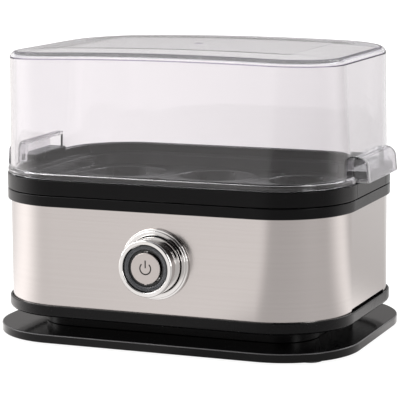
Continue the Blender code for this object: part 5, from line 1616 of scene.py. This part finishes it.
makeKnob()


# clear cover with its two hoods

cover = {
    "flangeOverhang": 0.0013,
    "flangeHeight": 0.0024,
    "flangeEdge": 0.0006,
    "wallInset": 0.0001,
    "wall": 0.0018,
    "draft": 0.0018,
    "base": 0.0783,
    "height": 0.0573,
    "fillet": 0.0032,
    "arch": 0.0020,
    "crown": 0.0006,
    "tightening": 0.004,
    "crownShares": (0.15, 0.3, 0.45, 0.6, 0.75, 0.85),
    "ventRadius": 0.002,
    "ventSteps": 32,
    "wallRows": 10,
    "edgeSteps": 8,
    "sideSteps": 12,
    "lowerLine": 0.2,  # the shoulder's faces that lean up less than this get its lower painted dark line
    "upperLine": (0.9, 0.9965),  # and those that lean up between these its upper painted dark line
}
hood = {
    "reach": 0.0076,
    "half": 0.022,
    "height": 0.0119,
    "wall": 0.0016,
    "draft": 0.0010,
    "radius": 0.0050,
    "edge": 0.0008,
    "edgeSteps": 10,
    "bevelSteps": 4,
    "bevelAngle": 60,  # degrees
    "slants": (0.15, 0.97),  # the sideways lean above which a face is on an edge, or on a side
}


def coverShare(height):
    # zero at the flange, one at the top
    low = cover["base"] + cover["flangeHeight"]
    return min(max((height - low) / (cover["base"] + cover["height"] - low), 0), 1)


def archAt(x):
    # how much higher the cover's top is there than at its ends
    return cover["arch"] * (1 - (x / body["halfLength"]) ** 2)


def coverRings(profile):
    rows = []
    for offset, height in profile:
        share = coverShare(height)
        radius = body["cornerRadius"] - cover["tightening"] * share
        ring = outlineRing(offset, height, radius=radius, sideSteps=cover["sideSteps"])
        rows.append([(x, y, z + share * archAt(x)) for x, y, z in ring])
    return rows


def splitRun(points, first, count):
    # adds rows between a point of a profile and the next
    start, end = points[first], points[first + 1]
    between = []
    for step in range(1, count):
        between.append(tuple(low + (high - low) * step / count for low, high in zip(start, end)))
    return points[: first + 1] + between + points[first + 1 :]


def crownPoints(inset, height):
    room = body["cornerRadius"] - cover["tightening"] - inset
    rise = cover["crown"] / cover["crownShares"][-1]
    return [(-inset - room * share, height + rise * share, 0) for share in cover["crownShares"]]


def coverShell(outside):
    base, top = cover["base"], cover["base"] + cover["height"]
    flangeTop, edge = base + cover["flangeHeight"], cover["flangeEdge"]
    topInset = cover["wallInset"] + cover["draft"]
    if outside:
        corners = [
            (-cover["wall"], base, 0),
            (cover["flangeOverhang"], base, edge),
            (cover["flangeOverhang"], flangeTop, edge),
            (-cover["wallInset"], flangeTop, edge),
            (-topInset, top, cover["fillet"]),
            *crownPoints(topInset + cover["fillet"], top),
        ]
    else:
        low, high = cover["wallInset"] + cover["wall"], topInset + cover["wall"]
        ceiling = top - cover["wall"]
        corners = [
            (-low, base - body["overrun"], 0),
            (-low, flangeTop, 0),
            (-high, ceiling, cover["fillet"] - cover["wall"]),
            *crownPoints(high + cover["fillet"], ceiling),
        ]
    points = roundedProfile(corners, closed=False, steps=cover["edgeSteps"])
    longest = max(range(len(points) - 1), key=lambda index: points[index + 1][1] - points[index][1])
    points = splitRun(points, longest, cover["wallRows"])
    return skinRings(coverRings(points))


def hoodMesh(side, wall):
    root = body["halfLength"] - cover["wallInset"] - cover["wall"] - cover["draft"]
    outer = body["halfLength"] + hood["reach"] - wall
    base = cover["base"] if wall == 0 else cover["base"] - body["overrun"]
    top = cover["base"] + hood["height"] - wall
    corners = [
        (root, base, 0),
        (outer, base, 0),
        (outer - hood["draft"], top, hood["radius"] - wall),
        (root, top, 0),
    ]
    points = [(side * x, z) for x, z in roundedProfile(corners, steps=hood["edgeSteps"])]
    return extrudedProfile(points, hood["half"] - wall, body["setBack"])


coverFinishes = ("clear", "hoodClearPaintedLight", "edgeClearPaintedHighlight", "topClearPaintedLight", "lineClearPaintedShade")


def coverFinish(face):
    # which copy of the clear plastic a face of the cover gets: the plain one, or a copy with painted light or
    # shade, by where the face lies and leans
    middle, lean = face.center, face.normal
    if abs(middle.x) > body["halfLength"] + cover["flangeOverhang"] + body["gap"]:
        edgeFrom, sideFrom = hood["slants"]
        if abs(lean.y) > sideFrom:
            return "topClearPaintedLight"
        return "edgeClearPaintedHighlight" if abs(lean.y) > edgeFrom else "hoodClearPaintedLight"
    if middle.z - archAt(middle.x) <= cover["base"] + cover["height"] - cover["fillet"]:
        return "clear"
    least, most = cover["upperLine"]
    lined = abs(lean.z) < cover["lowerLine"] or least < abs(lean.z) < most
    return "lineClearPaintedShade" if lined else "topClearPaintedLight"


def makeCover():
    made = meshObject("clearCover", coverShell(True))
    for side in (-1, 1):
        outside = meshObject("hood", hoodMesh(side, 0))
        bevel = outside.modifiers.new("edges", "BEVEL")
        bevel.width, bevel.segments = hood["edge"], hood["bevelSteps"]
        bevel.limit_method, bevel.angle_limit = "ANGLE", math.radians(hood["bevelAngle"])
        carve(made, settle(outside), "UNION")
    carve(made, meshObject("hollow", coverShell(False)))
    for side in (-1, 1):
        carve(made, meshObject("hollow", hoodMesh(side, hood["wall"])))
    top = cover["base"] + cover["height"]
    low, high = top - 2 * cover["wall"], top + cover["arch"] + cover["crown"] + body["overrun"]
    vent = [(0, low), (cover["ventRadius"], low), (cover["ventRadius"], high), (0, high)]
    place = Matrix.Translation((0, body["setBack"], 0))
    carve(made, meshObject("vent", turnedMesh(vent, cover["ventSteps"], place)))
    finishPiece(made, "lid", finishes["clear"], ["lid"], sharpAngle=38)
    for name in coverFinishes[1:]:
        made.data.materials.append(finishes[name])
    for face in made.data.polygons:
        face.material_index = coverFinishes.index(coverFinish(face))


makeCover()


# power symbol on the button

symbol = {
    "arcRadius": 0.00265,
    "gapAngle": 84,  # degrees left open at the top
    "barLow": 0.0003,
    "barHigh": 0.0038,
    "lineWidth": 0.00062,
    "lineRise": 0.00003,
    "steps": 48,
}


def makeSymbolTree():
    # lays a flat line of the given width along the drawn path
    tree, given, out = newGeometryTree(
        "printedLine",
        [
            ("Line Width", "NodeSocketFloat"),
            ("Line Rise", "NodeSocketFloat"),
            ("Finish", "NodeSocketMaterial"),
        ],
    )
    path = addNode(tree, "GeometryNodeMeshToCurve", -600, 100)
    profile = addNode(tree, "GeometryNodeCurvePrimitiveQuadrilateral", -600, -150)
    sweep = addNode(tree, "GeometryNodeCurveToMesh", -200, 0, {"Fill Caps": True})
    wire(
        tree,
        (given.outputs["Shape"], path.inputs[0]),
        (given.outputs["Line Width"], profile.inputs["Width"]),
        (given.outputs["Line Rise"], profile.inputs["Height"]),
        (path.outputs[0], sweep.inputs["Curve"]),
        (profile.outputs[0], sweep.inputs["Profile Curve"]),
    )
    endTree(tree, given, out, sweep.outputs[0])
    return tree


def makePowerSymbol():
    finish = finishes["print"]
    half, radius = math.radians(symbol["gapAngle"] / 2), symbol["arcRadius"]
    arc = []
    for step in range(symbol["steps"] + 1):
        angle = math.pi / 2 + half + (math.tau - 2 * half) * step / symbol["steps"]
        arc.append((radius * math.cos(angle), radius * math.sin(angle), 0))
    bar = [(0, symbol["barLow"], 0), (0, symbol["barHigh"], 0)]
    made = lineObject("powerSymbol", [arc, bar])
    values = {"Line Width": symbol["lineWidth"], "Line Rise": symbol["lineRise"], "Finish": finish}
    applyTree(made, makeSymbolTree(), values)
    made.data.transform(knobMatrix(knobParts["ringFront"]))
    finishPiece(made, "button", finish)


# fine ribs on the smoked ring

ribs = {
    "count": 108,
    "length": 0.0015,
    "width": 0.00016,
    "rise": 0.00016,
    "radius": 0.0097,
    "front": 0.0123,
}


def makeRibTree():
    # stands the shape on evenly spaced points of a circle, its X outwards and its Z along the circle
    tree, given, out = newGeometryTree(
        "ribRing",
        [
            ("Rib Count", "NodeSocketInt"),
            ("Ring Radius", "NodeSocketFloat"),
            ("Finish", "NodeSocketMaterial"),
        ],
    )
    circle = addNode(tree, "GeometryNodeCurvePrimitiveCircle", -800)
    spots = addNode(tree, "GeometryNodeCurveToPoints", -550, mode="EVALUATED")
    place = addNode(tree, "GeometryNodeInstanceOnPoints", -250)
    wire(
        tree,
        (given.outputs["Rib Count"], circle.inputs["Resolution"]),
        (given.outputs["Ring Radius"], circle.inputs["Radius"]),
        (circle.outputs[0], spots.inputs["Curve"]),
        (spots.outputs["Points"], place.inputs["Points"]),
        (spots.outputs["Rotation"], place.inputs["Rotation"]),
        (given.outputs["Shape"], place.inputs["Instance"]),
    )
    endTree(tree, given, out, place.outputs[0])
    return tree


def makeRibs():
    half = Vector((ribs["length"] / 2, ribs["rise"], ribs["width"] / 2))
    made = meshObject("ringRibs", boxMesh(-half, half))
    values = {"Rib Count": ribs["count"], "Ring Radius": ribs["radius"], "Finish": finishes["smoked"]}
    applyTree(made, makeRibTree(), values)
    made.data.transform(knobMatrix(ribs["front"]))
    finishPiece(made, "base", finishes["smoked"])


makePowerSymbol()
makeRibs()


# inner parts, which keep their CAD shapes

innerFinishes = {
    "cord_gland": "rubber",
    "heating_element": "sheath",
    "heat_reflector": "zinc",
    "thermostat": "zinc",
    "thermal_fuse": "nylon",
    "terminal_block": "nylon",
    "lead_line_in": "leadBrown",
    "lead_neutral_in": "leadBlue",
    "lead_switch_to_thermostat": "leadWhite",
    "lead_thermostat_to_fuse": "leadWhite",
    "lead_fuse_to_element": "leadWhite",
    "barrel_nut": "zinc",
    "indicator_board": "board",
    "button_spring": "zinc",
    "switch_module": "phenolic",
}
for name, finish in innerFinishes.items():
    for slot in nodes[name].material_slots:
        slot.material = finishes[finish]
left = [name for name, obj in nodes.items() if not obj.hide_render and name not in innerFinishes]
print("inner parts finished:", len(innerFinishes), "left as they were:", left)
